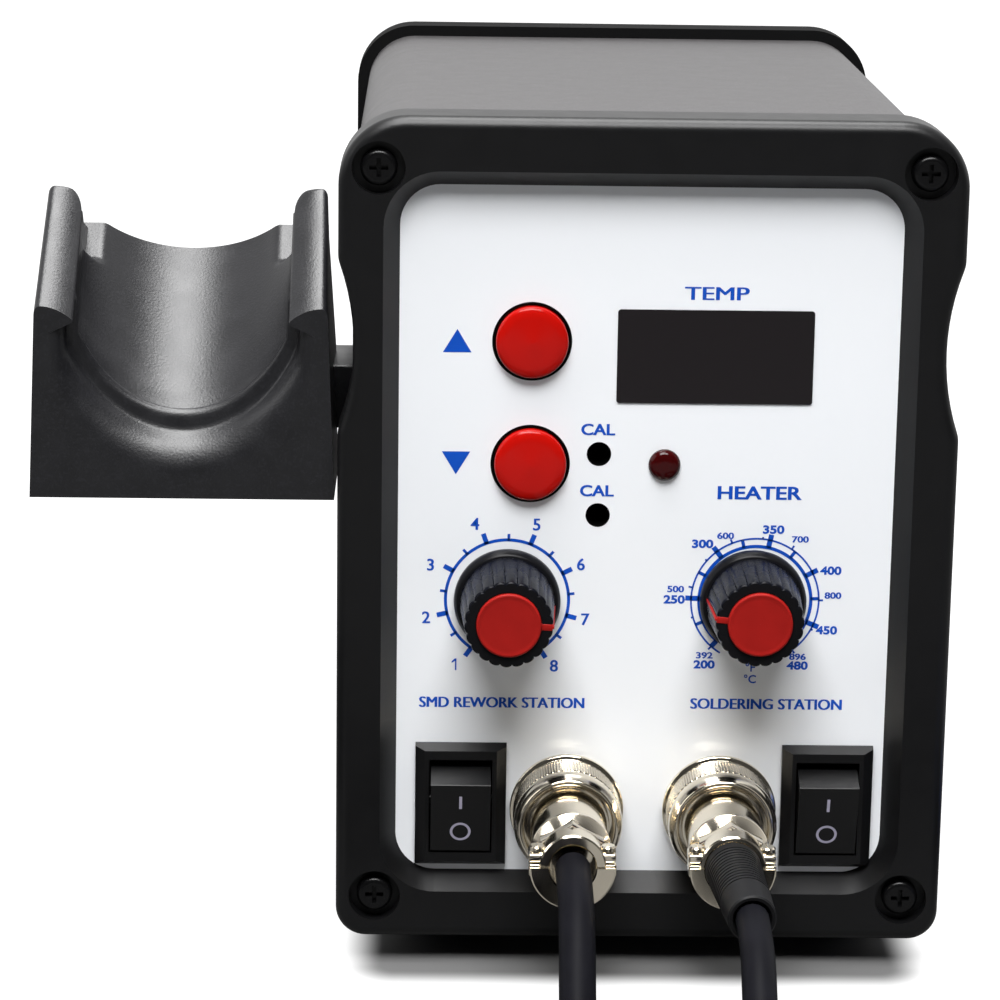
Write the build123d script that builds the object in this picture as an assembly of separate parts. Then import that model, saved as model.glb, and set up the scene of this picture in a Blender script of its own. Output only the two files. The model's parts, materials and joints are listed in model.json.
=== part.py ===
"""Two-in-one bench station: hot air rework on the left, soldering iron on the right.

Millimetres, +X to the right, +Y to the back, +Z up. The origin is the middle of the
housing's footprint on the bench, so the feet stand on Z = 0 and the front faces -Y.
"""
from build123d import *
from math import cos, degrees, pi, radians, sin, tan
import os

# Housing
HOUSING_W = 100.0
HOUSING_D = 150.0
BOTTOM_Z = 4.5
TOP_Z = 141.0
FRONT_Y = -HOUSING_D / 2
BACK_Y = HOUSING_D / 2
TOP_R = 11.0
BOTTOM_R = 5.0
BEZEL_D = 10.0
BEZEL_EDGE_R = 2.0
SLEEVE_W = 95.6
SLEEVE_BOTTOM = 6.0
SLEEVE_TOP = 139.0
SLEEVE_WALL = 1.6
LIP_D = 4.0
LIP_WALL = 2.0
SCALLOP_Z = 104.0
SCALLOP_DEEP = 2.5
SCALLOP_R = 40.0
SCALLOP_BLEND = 5.0

# Corner screws of both bezels
SCREW_X = 43.6
SCREW_Z = (11.9, 132.8)
SCREW_HEAD_R = 2.95
SCREW_HEAD_H = 2.0
SCREW_CORE_R = 1.25
SCREW_HOLE_R = 1.7
COUNTERBORE_R = 4.25
COUNTERBORE_D = 2.6
CHANNEL_R = 3.2

# Front panel, a printed plate set back in the bezel
PANEL_Y = FRONT_Y + 4.0
PANEL_T = 1.5
PANEL_BACK = PANEL_Y + PANEL_T
OPENING_W = 80.4
OPENING_BOTTOM = 15.3
OPENING_TOP = 129.8
OPENING_R = 6.5
CHAMFER = 2.6
PANEL_LAP = 1.8

# Places on the panel, as X and Z
BUTTON_X = -18.9
BUTTON_Z = (104.6, 84.5)
BUTTON_R = 5.85
BUTTON_HOLE_R = 6.15
BUTTON_TRAVEL = 0.8
WINDOW = (10.6, 102.35, 31.6, 15.3)
TRIMMER_X = -7.8
TRIMMER_Z = (86.2, 76.05)
TRIMMER_HOLE_R = 1.95
LAMP = (2.85, 84.5)
LAMP_R = 2.6
AIR_DIAL = (-22.3, 61.7)
IRON_DIAL = (18.2, 61.9)
LEFT_SWITCH = (-29.5, 26.8)
RIGHT_SWITCH = (31.0, 26.8)
AIR_PLUG = (-12.0, 26.4)
IRON_PLUG = (13.2, 26.4)

# Knobs and their potentiometers
KNOB_BACK = PANEL_Y - 0.6
KNOB_FRONT = PANEL_Y - 15.6
SKIRT_R = 8.7
SKIRT_T = 2.0
KNOB_BACK_R = 7.6
KNOB_FRONT_R = 6.95
FLUTES = 22
FLUTE_R = 0.45
CAP_R = 5.2
CAP_PROUD = 0.6
AIR_POINTER = -3.0
IRON_POINTER = 174.0
SHAFT_R = 3.0
BUSHING_R = 3.5
BUSHING_BORE = 3.05
POT_R = 8.0
POT_D = 8.0
NUT_AF = 11.0
NUT_T = 2.0

# Rocker switches, a 15 x 21 mm snap-in size
SWITCH_W = 15.0
SWITCH_H = 21.0
SWITCH_RIM = 1.9
SWITCH_CUT_W = 13.0
SWITCH_CUT_H = 19.0
CAVITY_W = 10.4
CAVITY_H = 16.0
ROCKER_W = 9.8
ROCKER_TILT = 14.5
PIVOT_BACK = 4.0
PIVOT_R = 1.2

# Circular panel connectors, 16 mm thread
FLANGE_R = 8.6
FLANGE_T = 1.0
SOCKET_R = 7.4
SOCKET_BORE = 6.2
RING_R = 8.9
RING_BACK_R = 9.4
RING_BORE = 7.48
RING_L = 10.6
NECK_BORE = 6.5
SHELL_R = 6.42
CLAMP_R = 6.7
PLUG_L = 31.0
AIR_CORD_D = 5.6
IRON_CORD_D = 5.2
BOOT_L = 21.0

# Boards and inner parts
BOARD_Y = PANEL_Y + 11.0
BOARD_T = 1.6
MAIN_BOARD_Z = 14.0

# Holder for the hot air handpiece, on the left side
HOLDER_X = (-100.0, -50.6)
HOLDER_TOP_X = (-98.2, -52.2)
HOLDER_FRONT = -69.0
HOLDER_BOTTOM = 77.6
HOLDER_TOP = 125.0
HOLDER_SLOPE = 40.0
TROUGH_R = 19.7
TROUGH_HALF = 17.3
COLLAR_R = 22.3
COLLAR_HALF = 19.9
COLLAR_FOOT = 83.6
COLLAR_L = 5.2
SEAT_N = 17.3
TROUGH_L = 43.5
EAR_L = 25.4
EAR_N = 16.9
EAR_CORNER = 1.0
EAR_ROUND = 4.0
REAR_N = 6.2
NOTCH_L = 8.9
NOTCH_HALF = 18.2
HOLDER_PAD = (-49.0, -31.0, 85.2, 96.0)
HOLDER_SCREWS = ((-45.0, 90.6), (-35.0, 90.6))

# Handpiece and iron, laid on the bench beside the housing
GUN_X = -140.0
GUN_AXIS_Z = 20.0
GUN_REAR = -152.0
IRON_X = 96.0
IRON_AXIS_Z = 11.5
IRON_REAR = -163.2

# Cords: routes as X, Y, Z, then the coils that hold the rest of each cord
AIR_COIL = (-48.8, -165.0, 34.0)
IRON_COIL = (47.6, -186.0, 31.0)
COIL_TURNS = 4.25
AIR_LEAD = [
    (-12.0, -102.0, 26.4), (-12.0, -113.0, 26.4), (-12.1, -124.0, 23.0), (-12.3, -133.5, 16.0),
    (-12.3, -142.5, 8.7), (-12.1, -152.5, 4.2),
]
AIR_TAIL = [
    (-61.8, -202.8, 6.9), (-75.5, -206.3, 4.2), (-90.0, -210.6, 3.0), (-103.5, -212.6, 3.2),
    (-116.0, -213.0, 5.2), (-127.0, -208.4, 9.2), (-135.4, -200.0, 14.2), (-140.0, -189.0, 18.6),
    (-140.0, -178.0, 20.0),
]
IRON_LEAD = [
    (14.4, -123.0, 26.0), (14.3, -134.0, 25.4), (13.7, -145.0, 21.6), (13.5, -154.5, 15.0),
    (13.7, -163.5, 8.0), (14.0, -173.5, 3.8),
]
IRON_TAIL = [
    (60.0, -220.0, 6.6), (72.0, -220.1, 4.8), (83.0, -215.4, 4.6), (91.4, -207.0, 6.6),
    (96.0, -196.0, 10.0), (96.0, -185.2, 11.5),
]


def box(x0, x1, y0, y1, z0, z1):
    return Pos((x0 + x1) / 2, (y0 + y1) / 2, (z0 + z1) / 2) * Box(x1 - x0, y1 - y0, z1 - z0)


def rod_y(x, z, y0, y1, r):
    """A round bar along Y."""
    return Pos(x, (y0 + y1) / 2, z) * Rot(90, 0, 0) * Cylinder(r, y1 - y0)


def rod_x(x0, x1, y, z, r):
    return Pos((x0 + x1) / 2, y, z) * Rot(0, 90, 0) * Cylinder(r, x1 - x0)


def rod_z(x, y, z0, z1, r):
    return Pos(x, y, (z0 + z1) / 2) * Cylinder(r, z1 - z0)


def plate(sketch, y0, y1):
    """A sketch drawn as X and Z, seen from the front, and made solid from y0 to y1."""
    face = Plane(origin=(0, y1, 0), x_dir=(1, 0, 0), z_dir=(0, -1, 0)) * sketch
    return extrude(face, amount=y1 - y0)


def side_plate(points, x0, x1):
    """A polygon given as Y and Z, made solid from x0 to x1."""
    wire = Polyline(*[(x0, y, z) for y, z in points], close=True)
    return extrude(make_face(wire), amount=x1 - x0, dir=(1, 0, 0))


def round_rect(width, bottom, top, r_top, r_bottom):
    """A rectangle about X = 0 with its own radius at the top and at the bottom."""
    sketch = Pos(0, (bottom + top) / 2) * Rectangle(width, top - bottom)
    corners = sketch.vertices().sort_by(Axis.Y)
    sketch = fillet(corners[2:], r_top)
    return fillet(sketch.vertices().sort_by(Axis.Y)[:2], r_bottom)


def turned(points, x, y, z, axis="y"):
    """A solid of revolution: points are (distance along the axis, radius)."""
    wire = Polyline(*[(r, a, 0) for a, r in points], close=True)
    solid = revolve(make_face(wire), Axis.Y)
    return Pos(x, y, z) * solid if axis == "y" else Pos(x, y, z) * Rot(90, 0, 0) * solid


def hexagon_y(x, z, y0, y1, across):
    return plate(Pos(x, z) * RegularPolygon(across / 2, 6, major_radius=False), y0, y1)


def mirror_y(shape):
    """The same piece at the back of the housing."""
    return mirror(shape, Plane.XZ)


def save(name, *shapes):
    solids = [s for shape in shapes for s in (shape if isinstance(shape, list) else [shape])]
    flat = [part for s in solids for part in s.solids()]
    export_step(flat[0] if len(flat) == 1 else Compound(children=flat), f"parts/{name}.step")


def outline():
    """The bezel's face: a rounded rectangle with a shallow scallop in each side."""
    sketch = round_rect(HOUSING_W, BOTTOM_Z, TOP_Z, TOP_R, BOTTOM_R)
    centre = HOUSING_W / 2 - SCALLOP_DEEP + SCALLOP_R
    for side in (-1, 1):
        sketch -= Pos(side * centre, SCALLOP_Z) * Circle(SCALLOP_R)
    ends = [v for v in sketch.vertices() if abs(v.Y - SCALLOP_Z) < 20 and abs(abs(v.X) - 50) < 0.2]
    return fillet(ends, SCALLOP_BLEND)


def front_bezel():
    body = plate(outline(), FRONT_Y, FRONT_Y + BEZEL_D)
    rim = body.faces().sort_by(Axis.Y)[0].outer_wire().edges()
    body = fillet(rim, BEZEL_EDGE_R)
    lip_w = SLEEVE_W - 2 * SLEEVE_WALL - 0.4
    lip_z = (SLEEVE_BOTTOM + SLEEVE_WALL + 0.2, SLEEVE_TOP - SLEEVE_WALL - 0.2)
    lip = round_rect(lip_w, *lip_z, 7.5, 2.2)
    inner = round_rect(lip_w - 2 * LIP_WALL, lip_z[0] + LIP_WALL, lip_z[1] - LIP_WALL, 5.5, 1.0)
    back = FRONT_Y + BEZEL_D
    body += plate(lip, back - 0.5, back + LIP_D)
    body -= plate(inner, back - 0.1, back + LIP_D + 1)
    pocket_w = OPENING_W + 2 * PANEL_LAP
    pocket_z = (OPENING_BOTTOM - PANEL_LAP, OPENING_TOP + PANEL_LAP)
    body -= plate(round_rect(pocket_w + 0.4, pocket_z[0] - 0.2, pocket_z[1] + 0.2, 8.5, 8.5), PANEL_Y, back + 5)
    sink = loft([
        Plane(origin=(0, PANEL_Y + 0.01, 0), x_dir=(1, 0, 0), z_dir=(0, -1, 0))
        * round_rect(OPENING_W, OPENING_BOTTOM, OPENING_TOP, OPENING_R, OPENING_R),
        Plane(origin=(0, FRONT_Y - 0.01, 0), x_dir=(1, 0, 0), z_dir=(0, -1, 0))
        * round_rect(OPENING_W + 2 * CHAMFER, OPENING_BOTTOM - CHAMFER, OPENING_TOP + CHAMFER,
                     OPENING_R + CHAMFER, OPENING_R + CHAMFER),
    ])
    body -= sink
    for x in (-SCREW_X, SCREW_X):
        for z in SCREW_Z:
            body -= rod_y(x, z, FRONT_Y - 1, FRONT_Y + COUNTERBORE_D, COUNTERBORE_R)
            body -= rod_y(x, z, FRONT_Y, back + 1, SCREW_HOLE_R)
            body -= rod_y(x, z, back, back + LIP_D + 1, CHANNEL_R + 0.4)
    return body


def body_sleeve():
    """The extruded sleeve, with a screw channel in each corner and its mounting holes."""
    y0, y1 = FRONT_Y + BEZEL_D, BACK_Y - BEZEL_D
    outer = round_rect(SLEEVE_W, SLEEVE_BOTTOM, SLEEVE_TOP, 9.0, 3.6)
    wall = SLEEVE_WALL
    inner = round_rect(SLEEVE_W - 2 * wall, SLEEVE_BOTTOM + wall, SLEEVE_TOP - wall, 7.4, 2.0)
    section = outer - inner
    for x in (-SCREW_X, SCREW_X):
        for z in SCREW_Z:
            section += (Pos(x, z) * Circle(CHANNEL_R)) & outer
    for x in (-SCREW_X, SCREW_X):
        for z in SCREW_Z:
            section -= Pos(x, z) * Circle(SCREW_CORE_R)
    sleeve = plate(section, y0, y1)
    for x, y in foot_places():
        sleeve -= rod_z(x, y, SLEEVE_BOTTOM - 1, SLEEVE_BOTTOM + 3, SCREW_CORE_R)
    for y, z in HOLDER_SCREWS:
        sleeve -= rod_x(-SLEEVE_W / 2 - 1, -SLEEVE_W / 2 + 3, y, z, 1.6)
    for x, y in standoff_places() + transformer_bolt_places():
        sleeve -= rod_z(x, y, SLEEVE_BOTTOM - 1, SLEEVE_BOTTOM + wall + 0.5, SCREW_CORE_R)
    return sleeve


def bezel_screw(x, z):
    head_back = FRONT_Y + COUNTERBORE_D
    head = rod_y(x, z, head_back - SCREW_HEAD_H, head_back, SCREW_HEAD_R)
    head = fillet(head.faces().sort_by(Axis.Y)[0].edges(), 0.9)
    recess = box(x - 1.5, x + 1.5, head_back - 3, head_back - 0.7, z - 0.35, z + 0.35)
    recess += box(x - 0.35, x + 0.35, head_back - 3, head_back - 0.7, z - 1.5, z + 1.5)
    return head - recess + rod_y(x, z, head_back, head_back + 14, SCREW_CORE_R)


def bezel_screws():
    front = [bezel_screw(x, z) for x in (-SCREW_X, SCREW_X) for z in SCREW_Z]
    return front + [mirror_y(s) for s in front]


def front_panel():
    width = OPENING_W + 2 * PANEL_LAP
    sketch = round_rect(width, OPENING_BOTTOM - PANEL_LAP, OPENING_TOP + PANEL_LAP, 8.3, 8.3)
    for z in BUTTON_Z:
        sketch -= Pos(BUTTON_X, z) * Circle(BUTTON_HOLE_R)
    for z in TRIMMER_Z:
        sketch -= Pos(TRIMMER_X, z) * Circle(TRIMMER_HOLE_R)
    sketch -= Pos(*LAMP) * Circle(LAMP_R)
    for dial in (AIR_DIAL, IRON_DIAL):
        sketch -= Pos(*dial) * Circle(BUSHING_R)
    for switch in (LEFT_SWITCH, RIGHT_SWITCH):
        sketch -= Pos(*switch) * Rectangle(SWITCH_CUT_W, SWITCH_CUT_H)
    for plug in (AIR_PLUG, IRON_PLUG):
        sketch -= Pos(*plug) * Circle(SOCKET_R)
    x, z, w, h = WINDOW
    sketch -= Pos(x, z) * RectangleRounded(w, h, 0.5)
    return plate(sketch, PANEL_Y, PANEL_BACK)


def rear_panel():
    """The back plate, with the mains inlet's cut-out and two rows of vents."""
    width = OPENING_W + 2 * PANEL_LAP
    sketch = round_rect(width, OPENING_BOTTOM - PANEL_LAP, OPENING_TOP + PANEL_LAP, 8.3, 8.3)
    sketch -= Pos(0, 40) * Rectangle(27.4, 32.4)
    for row in (88, 108):
        for i in range(9):
            sketch -= Pos(-28 + 7 * i, row) * RectangleRounded(3, 14, 1.4)
    return mirror_y(plate(sketch, PANEL_Y, PANEL_BACK))


def button(z):
    """A domed push-button cap with its retaining flange and stem."""
    cap = rod_y(BUTTON_X, z, PANEL_Y - 1.9, PANEL_BACK + 0.2, BUTTON_R)
    cap = fillet(cap.faces().sort_by(Axis.Y)[0].edges(), 0.8)
    flange = rod_y(BUTTON_X, z, PANEL_BACK + 0.15, PANEL_BACK + 1.2, BUTTON_R + 1.0)
    stem = rod_y(BUTTON_X, z, PANEL_BACK + 1.0, BOARD_Y - 6.4, 2.0)
    return cap + flange + stem


def button_switches():
    made = []
    for z in BUTTON_Z:
        body = box(BUTTON_X - 3, BUTTON_X + 3, BOARD_Y - 3.6, BOARD_Y, z - 3, z + 3)
        made.append(body + rod_y(BUTTON_X, z, BOARD_Y - 5.3, BOARD_Y - 3.6, 1.7))
    return made


def display_window():
    x, z, w, h = WINDOW
    lens = plate(Pos(x, z) * RectangleRounded(w, h, 0.5), PANEL_Y - 0.2, PANEL_BACK)
    return lens + box(x - w / 2 - 1, x + w / 2 + 1, PANEL_BACK, PANEL_BACK + 1, z - h / 2 - 1, z + h / 2 + 1)


def display_module():
    x, z, w, h = WINDOW
    body = box(x - 15, x + 15, PANEL_BACK + 1.2, BOARD_Y, z - 7, z + 7)
    return body


def heater_lamp():
    x, z = LAMP
    lens = rod_y(x, z, PANEL_Y - 1.3, PANEL_BACK + 1, LAMP_R - 0.03)
    lens = fillet(lens.faces().sort_by(Axis.Y)[0].edges(), 1.6)
    return lens + rod_y(x, z, PANEL_BACK + 1, PANEL_BACK + 2, LAMP_R + 0.5) + rod_y(x, z, PANEL_BACK + 2, BOARD_Y, 0.8)


def calibration_trimmers():
    made = []
    for z in TRIMMER_Z:
        body = box(TRIMMER_X - 3.2, TRIMMER_X + 3.2, BOARD_Y - 5, BOARD_Y, z - 3.2, z + 3.2)
        made.append(body - rod_y(TRIMMER_X, z, BOARD_Y - 6, BOARD_Y - 3, 2.0))
    return made


def trimmer_rotor(z):
    """The slotted rotor that a screwdriver turns through the panel."""
    rotor = rod_y(TRIMMER_X, z, BOARD_Y - 4.8, BOARD_Y - 3.0, 1.92)
    return rotor - box(TRIMMER_X - 1.5, TRIMMER_X + 1.5, BOARD_Y - 5.4, BOARD_Y - 4.1, z - 0.3, z + 0.3)


def control_board():
    board = box(-38, 38, BOARD_Y, BOARD_Y + BOARD_T, 71.5, 118)
    for x in (-34, 34):
        for z in (74.5, 114):
            board -= rod_y(x, z, BOARD_Y - 1, BOARD_Y + 3, 1.6)
    chips = box(-30, -18, BOARD_Y + BOARD_T, BOARD_Y + BOARD_T + 3, 90, 98)
    chips += box(-8, 10, BOARD_Y + BOARD_T, BOARD_Y + BOARD_T + 4, 84, 92)
    chips += box(16, 30, BOARD_Y + BOARD_T, BOARD_Y + BOARD_T + 9, 78, 88)
    return board + chips


def board_pillars():
    """Pillars from the panel that carry the control board."""
    return [rod_y(x, z, PANEL_BACK, BOARD_Y, 3.0) + rod_y(x, z, BOARD_Y, BOARD_Y + 3, 1.6)
            for x in (-34, 34) for z in (74.5, 114)]


def knob_body(place, pointer):
    """A skirted, fluted knob with a cap recess and a slot for the cap's pointer."""
    x, z = place
    body = turned([(0, SHAFT_R), (0, SKIRT_R), (-1.4, SKIRT_R), (-SKIRT_T, SKIRT_R - 0.6),
                   (-SKIRT_T, KNOB_BACK_R), (KNOB_FRONT - KNOB_BACK, KNOB_FRONT_R),
                   (KNOB_FRONT - KNOB_BACK, CAP_R + 0.02), (KNOB_FRONT - KNOB_BACK + 1.2, CAP_R + 0.02),
                   (KNOB_FRONT - KNOB_BACK + 1.2, SHAFT_R)], x, KNOB_BACK, z)
    body -= rod_y(x, z, KNOB_BACK - 2.6, KNOB_BACK + 1, 7.0)
    lean = degrees((KNOB_BACK_R - KNOB_FRONT_R) / (KNOB_BACK - SKIRT_T - KNOB_FRONT))
    length = KNOB_BACK - SKIRT_T - KNOB_FRONT
    middle = (KNOB_BACK - SKIRT_T + KNOB_FRONT) / 2
    r = (KNOB_BACK_R + KNOB_FRONT_R) / 2 + 0.12
    for i in range(FLUTES):
        groove = Pos(0, middle, r) * Rot(90 + lean, 0, 0) * Cylinder(FLUTE_R, length + 0.6)
        body -= Pos(x, 0, z) * Rot(0, i * 360 / FLUTES, 0) * groove
    slot = box(4.0, 7.6, KNOB_FRONT - 1, KNOB_FRONT + 0.8, -0.5, 0.5)
    return body - Pos(x, 0, z) * Rot(0, -pointer, 0) * slot


def knob_cap(place, pointer):
    """The coloured cap, with its pointer running out to the knob's edge."""
    x, z = place
    cap = rod_y(0, 0, KNOB_FRONT - CAP_PROUD, KNOB_FRONT + 1.2, CAP_R)
    cap = fillet(cap.faces().sort_by(Axis.Y)[0].edges(), 0.3)
    cap += box(4.4, 6.9, KNOB_FRONT - 0.15, KNOB_FRONT + 0.8, -0.48, 0.48)
    return Pos(x, 0, z) * Rot(0, -pointer, 0) * cap


def pot_shaft(place):
    return rod_y(*place, KNOB_FRONT + 1.2, PANEL_BACK + 2.0, SHAFT_R)


def potentiometers():
    made = []
    for x, z in (AIR_DIAL, IRON_DIAL):
        can = rod_y(x, z, PANEL_BACK, PANEL_BACK + POT_D, POT_R)
        can += rod_y(x, z, PANEL_Y - 3.2, PANEL_BACK, BUSHING_R)
        can += box(x - 6, x + 6, PANEL_BACK + 1, PANEL_BACK + 3, z - 13, z - 4)
        made.append(can - rod_y(x, z, PANEL_Y - 4, PANEL_BACK + 3, BUSHING_BORE))
    return made


def pot_nuts():
    return [hexagon_y(x, z, PANEL_Y - NUT_T, PANEL_Y, NUT_AF) - rod_y(x, z, PANEL_Y - 5, PANEL_Y + 1, BUSHING_R)
            for x, z in (AIR_DIAL, IRON_DIAL)]


def switch_housing(place):
    """The snap-in frame with its sloped rim, and the box behind the panel."""
    x, z = place
    front = PANEL_Y - SWITCH_RIM
    rim = box(x - SWITCH_W / 2, x + SWITCH_W / 2, front, PANEL_Y, z - SWITCH_H / 2, z + SWITCH_H / 2)
    rim = chamfer(rim.faces().sort_by(Axis.Y)[0].edges(), length=1.0, length2=1.6)
    rim &= plate(round_rect(OPENING_W - 0.2, OPENING_BOTTOM, OPENING_TOP, OPENING_R, OPENING_R), front - 1, PANEL_Y)
    back = front + 13.0
    body = box(x - SWITCH_CUT_W / 2, x + SWITCH_CUT_W / 2, PANEL_Y, back, z - SWITCH_CUT_H / 2, z + SWITCH_CUT_H / 2)
    cavity = box(x - CAVITY_W / 2, x + CAVITY_W / 2, front - 1, back - 2, z - CAVITY_H / 2, z + CAVITY_H / 2)
    pivot = front + PIVOT_BACK
    return rim + body - cavity - rod_x(x - 6.2, x + 6.2, pivot, z, PIVOT_R + 0.06)


def rocker(place):
    """A rocker resting in the off position: its top end stands out of the frame."""
    x, z = place
    pivot = PANEL_Y - SWITCH_RIM + PIVOT_BACK
    profile = [(-6.4, 6.0), (6.4, 6.0), (7.2, 1.5), (6.8, -1.5), (3.0, -3.0), (-3.0, -3.0),
               (-6.8, -1.5), (-7.2, 1.5)]
    body = side_plate([(-f, up) for up, f in profile], -ROCKER_W / 2, ROCKER_W / 2)
    body = fillet([e for e in body.edges() if e.center().Y < -5.9 and abs(e.center().Z) > 6], 0.3)
    body += rod_x(-6.1, 6.1, 0, 0, PIVOT_R)
    return Pos(x, pivot, z) * Rot(ROCKER_TILT, 0, 0) * body


def switch_terminals():
    back = PANEL_Y - SWITCH_RIM + 13.0
    return [box(x - 2.4, x + 2.4, back, back + 7, z + dz - 0.4, z + dz + 0.4)
            for x, z in (LEFT_SWITCH, RIGHT_SWITCH) for dz in (-5, 5)]


def socket(place):
    """The panel half of a circular connector: flange, threaded tube and pin insert."""
    x, z = place
    y = PANEL_Y
    tube = rod_y(x, z, y - 9.0, y + 6.5, SOCKET_R) + rod_y(x, z, y - FLANGE_T, y, FLANGE_R)
    tube -= rod_y(x, z, y - 10, y - 1.2, SOCKET_BORE)
    for i in range(4):
        a = radians(45 + 90 * i)
        tube += rod_y(x + 2.6 * cos(a), z + 2.6 * sin(a), y + 6.0, y + 11.0, 0.7)
    return tube


def socket_nuts():
    return [hexagon_y(x, z, PANEL_BACK, PANEL_BACK + 2.4, 19.0) - rod_y(x, z, PANEL_BACK - 1, PANEL_BACK + 5, SOCKET_R)
            for x, z in (AIR_PLUG, IRON_PLUG)]


def plug_shell(place):
    """The barrel of a plug, with its nose in the socket and a step before the clamp."""
    return turned([(-1.2, 0.01), (-1.2, 6.1), (-9.3, 6.1), (-9.3, 7.1), (-10.3, 7.1), (-10.3, SHELL_R),
                   (-22.5, SHELL_R), (-23.6, CLAMP_R), (-24.8, CLAMP_R), (-24.8, 0.01)],
                  place[0], PANEL_Y, place[1])


def plug_ring(place):
    """The knurled coupling ring, free to turn on the plug's barrel."""
    return turned([(-1.15, RING_BORE), (-1.15, RING_BACK_R), (-2.0, RING_BACK_R), (-2.3, RING_R - 0.35),
                   (-3.0, RING_R - 0.35), (-3.2, RING_R), (-9.6, RING_R), (-RING_L - 1.0, 8.5),
                   (-RING_L - 1.15, 8.1), (-RING_L - 0.4, NECK_BORE), (-10.6, NECK_BORE), (-10.6, RING_BORE)],
                  place[0], PANEL_Y, place[1])


def plug_clamp(place):
    """The saddles that grip the cord, with an ear for a screw at each side."""
    x, z = place
    end = PANEL_Y - PLUG_L
    saddle = rod_y(x, z, end, PANEL_Y - 24.8, CLAMP_R - 0.5)
    saddle += box(x - 6.8, x + 6.8, end + 0.8, PANEL_Y - 25.6, z - 2.2, z + 2.2)
    for side in (-1, 1):
        saddle -= box(x + side * 5.7 - 1.25, x + side * 5.7 + 1.25, end - 1, PANEL_Y - 25.6, z + 1.4, z + 8)
    return saddle


def clamp_screws():
    """One screw through each ear of the two clamps."""
    y = PANEL_Y - 28.2
    return [rod_z(x + side * 5.7, y, z + 1.4, z + 2.6, 1.1)
            for x, z in (AIR_PLUG, IRON_PLUG) for side in (-1, 1)]


def plug_boot():
    """The ribbed strain relief of the iron's plug, leaning a little to the right."""
    x, z = IRON_PLUG
    start, end = Vector(x, PANEL_Y - PLUG_L, z), Vector(*IRON_LEAD[0])
    lean = (end - start).normalized()
    root, tip = Plane(origin=start, z_dir=lean), Plane(origin=end, z_dir=lean)
    root.origin -= lean * 0.6
    boot = loft([root * Circle(4.6), tip * Circle(3.9)])
    boot -= box(x - 8, x + 8, start.Y, start.Y + 3, z - 8, z + 8)
    for i in range(9):
        rib = Plane(origin=start + lean * (3.0 + 1.5 * i), z_dir=lean)
        r = 4.6 - 0.7 * (3.0 + 1.5 * i) / BOOT_L
        boot -= extrude(rib * (Circle(r + 1) - Circle(r - 0.35)), amount=0.7)
    return boot


def main_board():
    board = box(-39.5, -1, -38, 52, MAIN_BOARD_Z, MAIN_BOARD_Z + BOARD_T)
    for x, y in standoff_places():
        board -= rod_z(x, y, MAIN_BOARD_Z - 1, MAIN_BOARD_Z + 3, 1.6)
    top = MAIN_BOARD_Z + BOARD_T
    board += rod_z(-29, 40, top, top + 22, 8.0)
    board += rod_z(-13, 42, top, top + 14, 5.0)
    board += box(-38, -22, -34, -22, top, top + 9)
    board += box(-18, -6, -34, -26, top, top + 9)
    return board


def heat_sink():
    """A finned block with the power devices' face towards the middle."""
    z = MAIN_BOARD_Z + BOARD_T
    base = box(-36, -6, -9, 16, z, z + 4)
    for i in range(6):
        x = -35.5 + 5.55 * i
        base += box(x, x + 1.6, -9, 16, z, z + 34)
    return base


def standoff_places():
    return [(x, y) for x in (-36, -5) for y in (-18, 26)]


def board_standoffs():
    low, high = SLEEVE_BOTTOM + SLEEVE_WALL, MAIN_BOARD_Z
    return [rod_z(x, y, low, high, 2.8) + rod_z(x, y, SLEEVE_BOTTOM, low, SCREW_CORE_R)
            + rod_z(x, y, high, high + 2.4, 1.6) for x, y in standoff_places()]


def transformer_core():
    """A laminated core on two feet that the bolts hold down."""
    low = SLEEVE_BOTTOM + SLEEVE_WALL
    core = box(5, 39, -4, 36, low + 2, low + 50)
    core -= box(12, 19, -5, 37, low + 10, low + 42)
    core -= box(25, 32, -5, 37, low + 10, low + 42)
    feet = box(5, 39, -13, 45, low, low + 2)
    for x, y in transformer_bolt_places():
        feet -= rod_z(x, y, low - 1, low + 3, SCREW_CORE_R)
    return core + feet


def transformer_winding():
    """The coil former and its winding round the core's middle leg."""
    low = SLEEVE_BOTTOM + SLEEVE_WALL
    return box(12.2, 31.8, -9, 41, low + 10.2, low + 41.8) - box(19, 25, -4, 36, low + 9, low + 43)


def transformer_bolt_places():
    return [(22, -9.5), (22, 41.5)]


def transformer_bolts():
    low = SLEEVE_BOTTOM + SLEEVE_WALL
    return [rod_z(x, y, low + 2, low + 4.2, 2.7) + rod_z(x, y, SLEEVE_BOTTOM, low + 2, SCREW_CORE_R)
            for x, y in transformer_bolt_places()]


def mains_inlet():
    """The appliance inlet, with its three pins and the fuse drawer's bay under it."""
    face = BACK_Y - 4.0
    body = box(-13.7, 13.7, face - 18, face, 23.8, 56.2) + box(-16, 16, face, face + 2, 21, 59)
    body -= plate(Pos(0, 46.5) * RectangleRounded(24.2, 15.6, 2.5), face - 15, face + 3)
    body -= box(-10.3, 10.3, face - 15, face + 3, 26.4, 35.2)
    for x, z in ((-7, 44.5), (7, 44.5), (0, 48.5)):
        body += box(x - 1.0, x + 1.0, face - 15.5, face - 0.6, z - 2.0, z + 2.0)
    return body


def fuse_drawer():
    """The pull-out fuse carrier."""
    face = BACK_Y - 4.0
    tray = box(-10, 10, face - 14.5, face + 2.2, 26.7, 34.9)
    tray += box(-10, 10, face + 2.2, face + 3.2, 26.7, 34.9)
    tray -= box(-8, 8, face - 13, face - 1, 28.7, 36)
    return tray


def fuse():
    face = BACK_Y - 4.0
    glass = Pos(0, face - 7, 31.2) * Rot(0, 90, 0) * Cylinder(2.5, 16)
    return glass


def foot_places():
    return [(x, y) for x in (-36, 36) for y in (-54, 54)]


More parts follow.
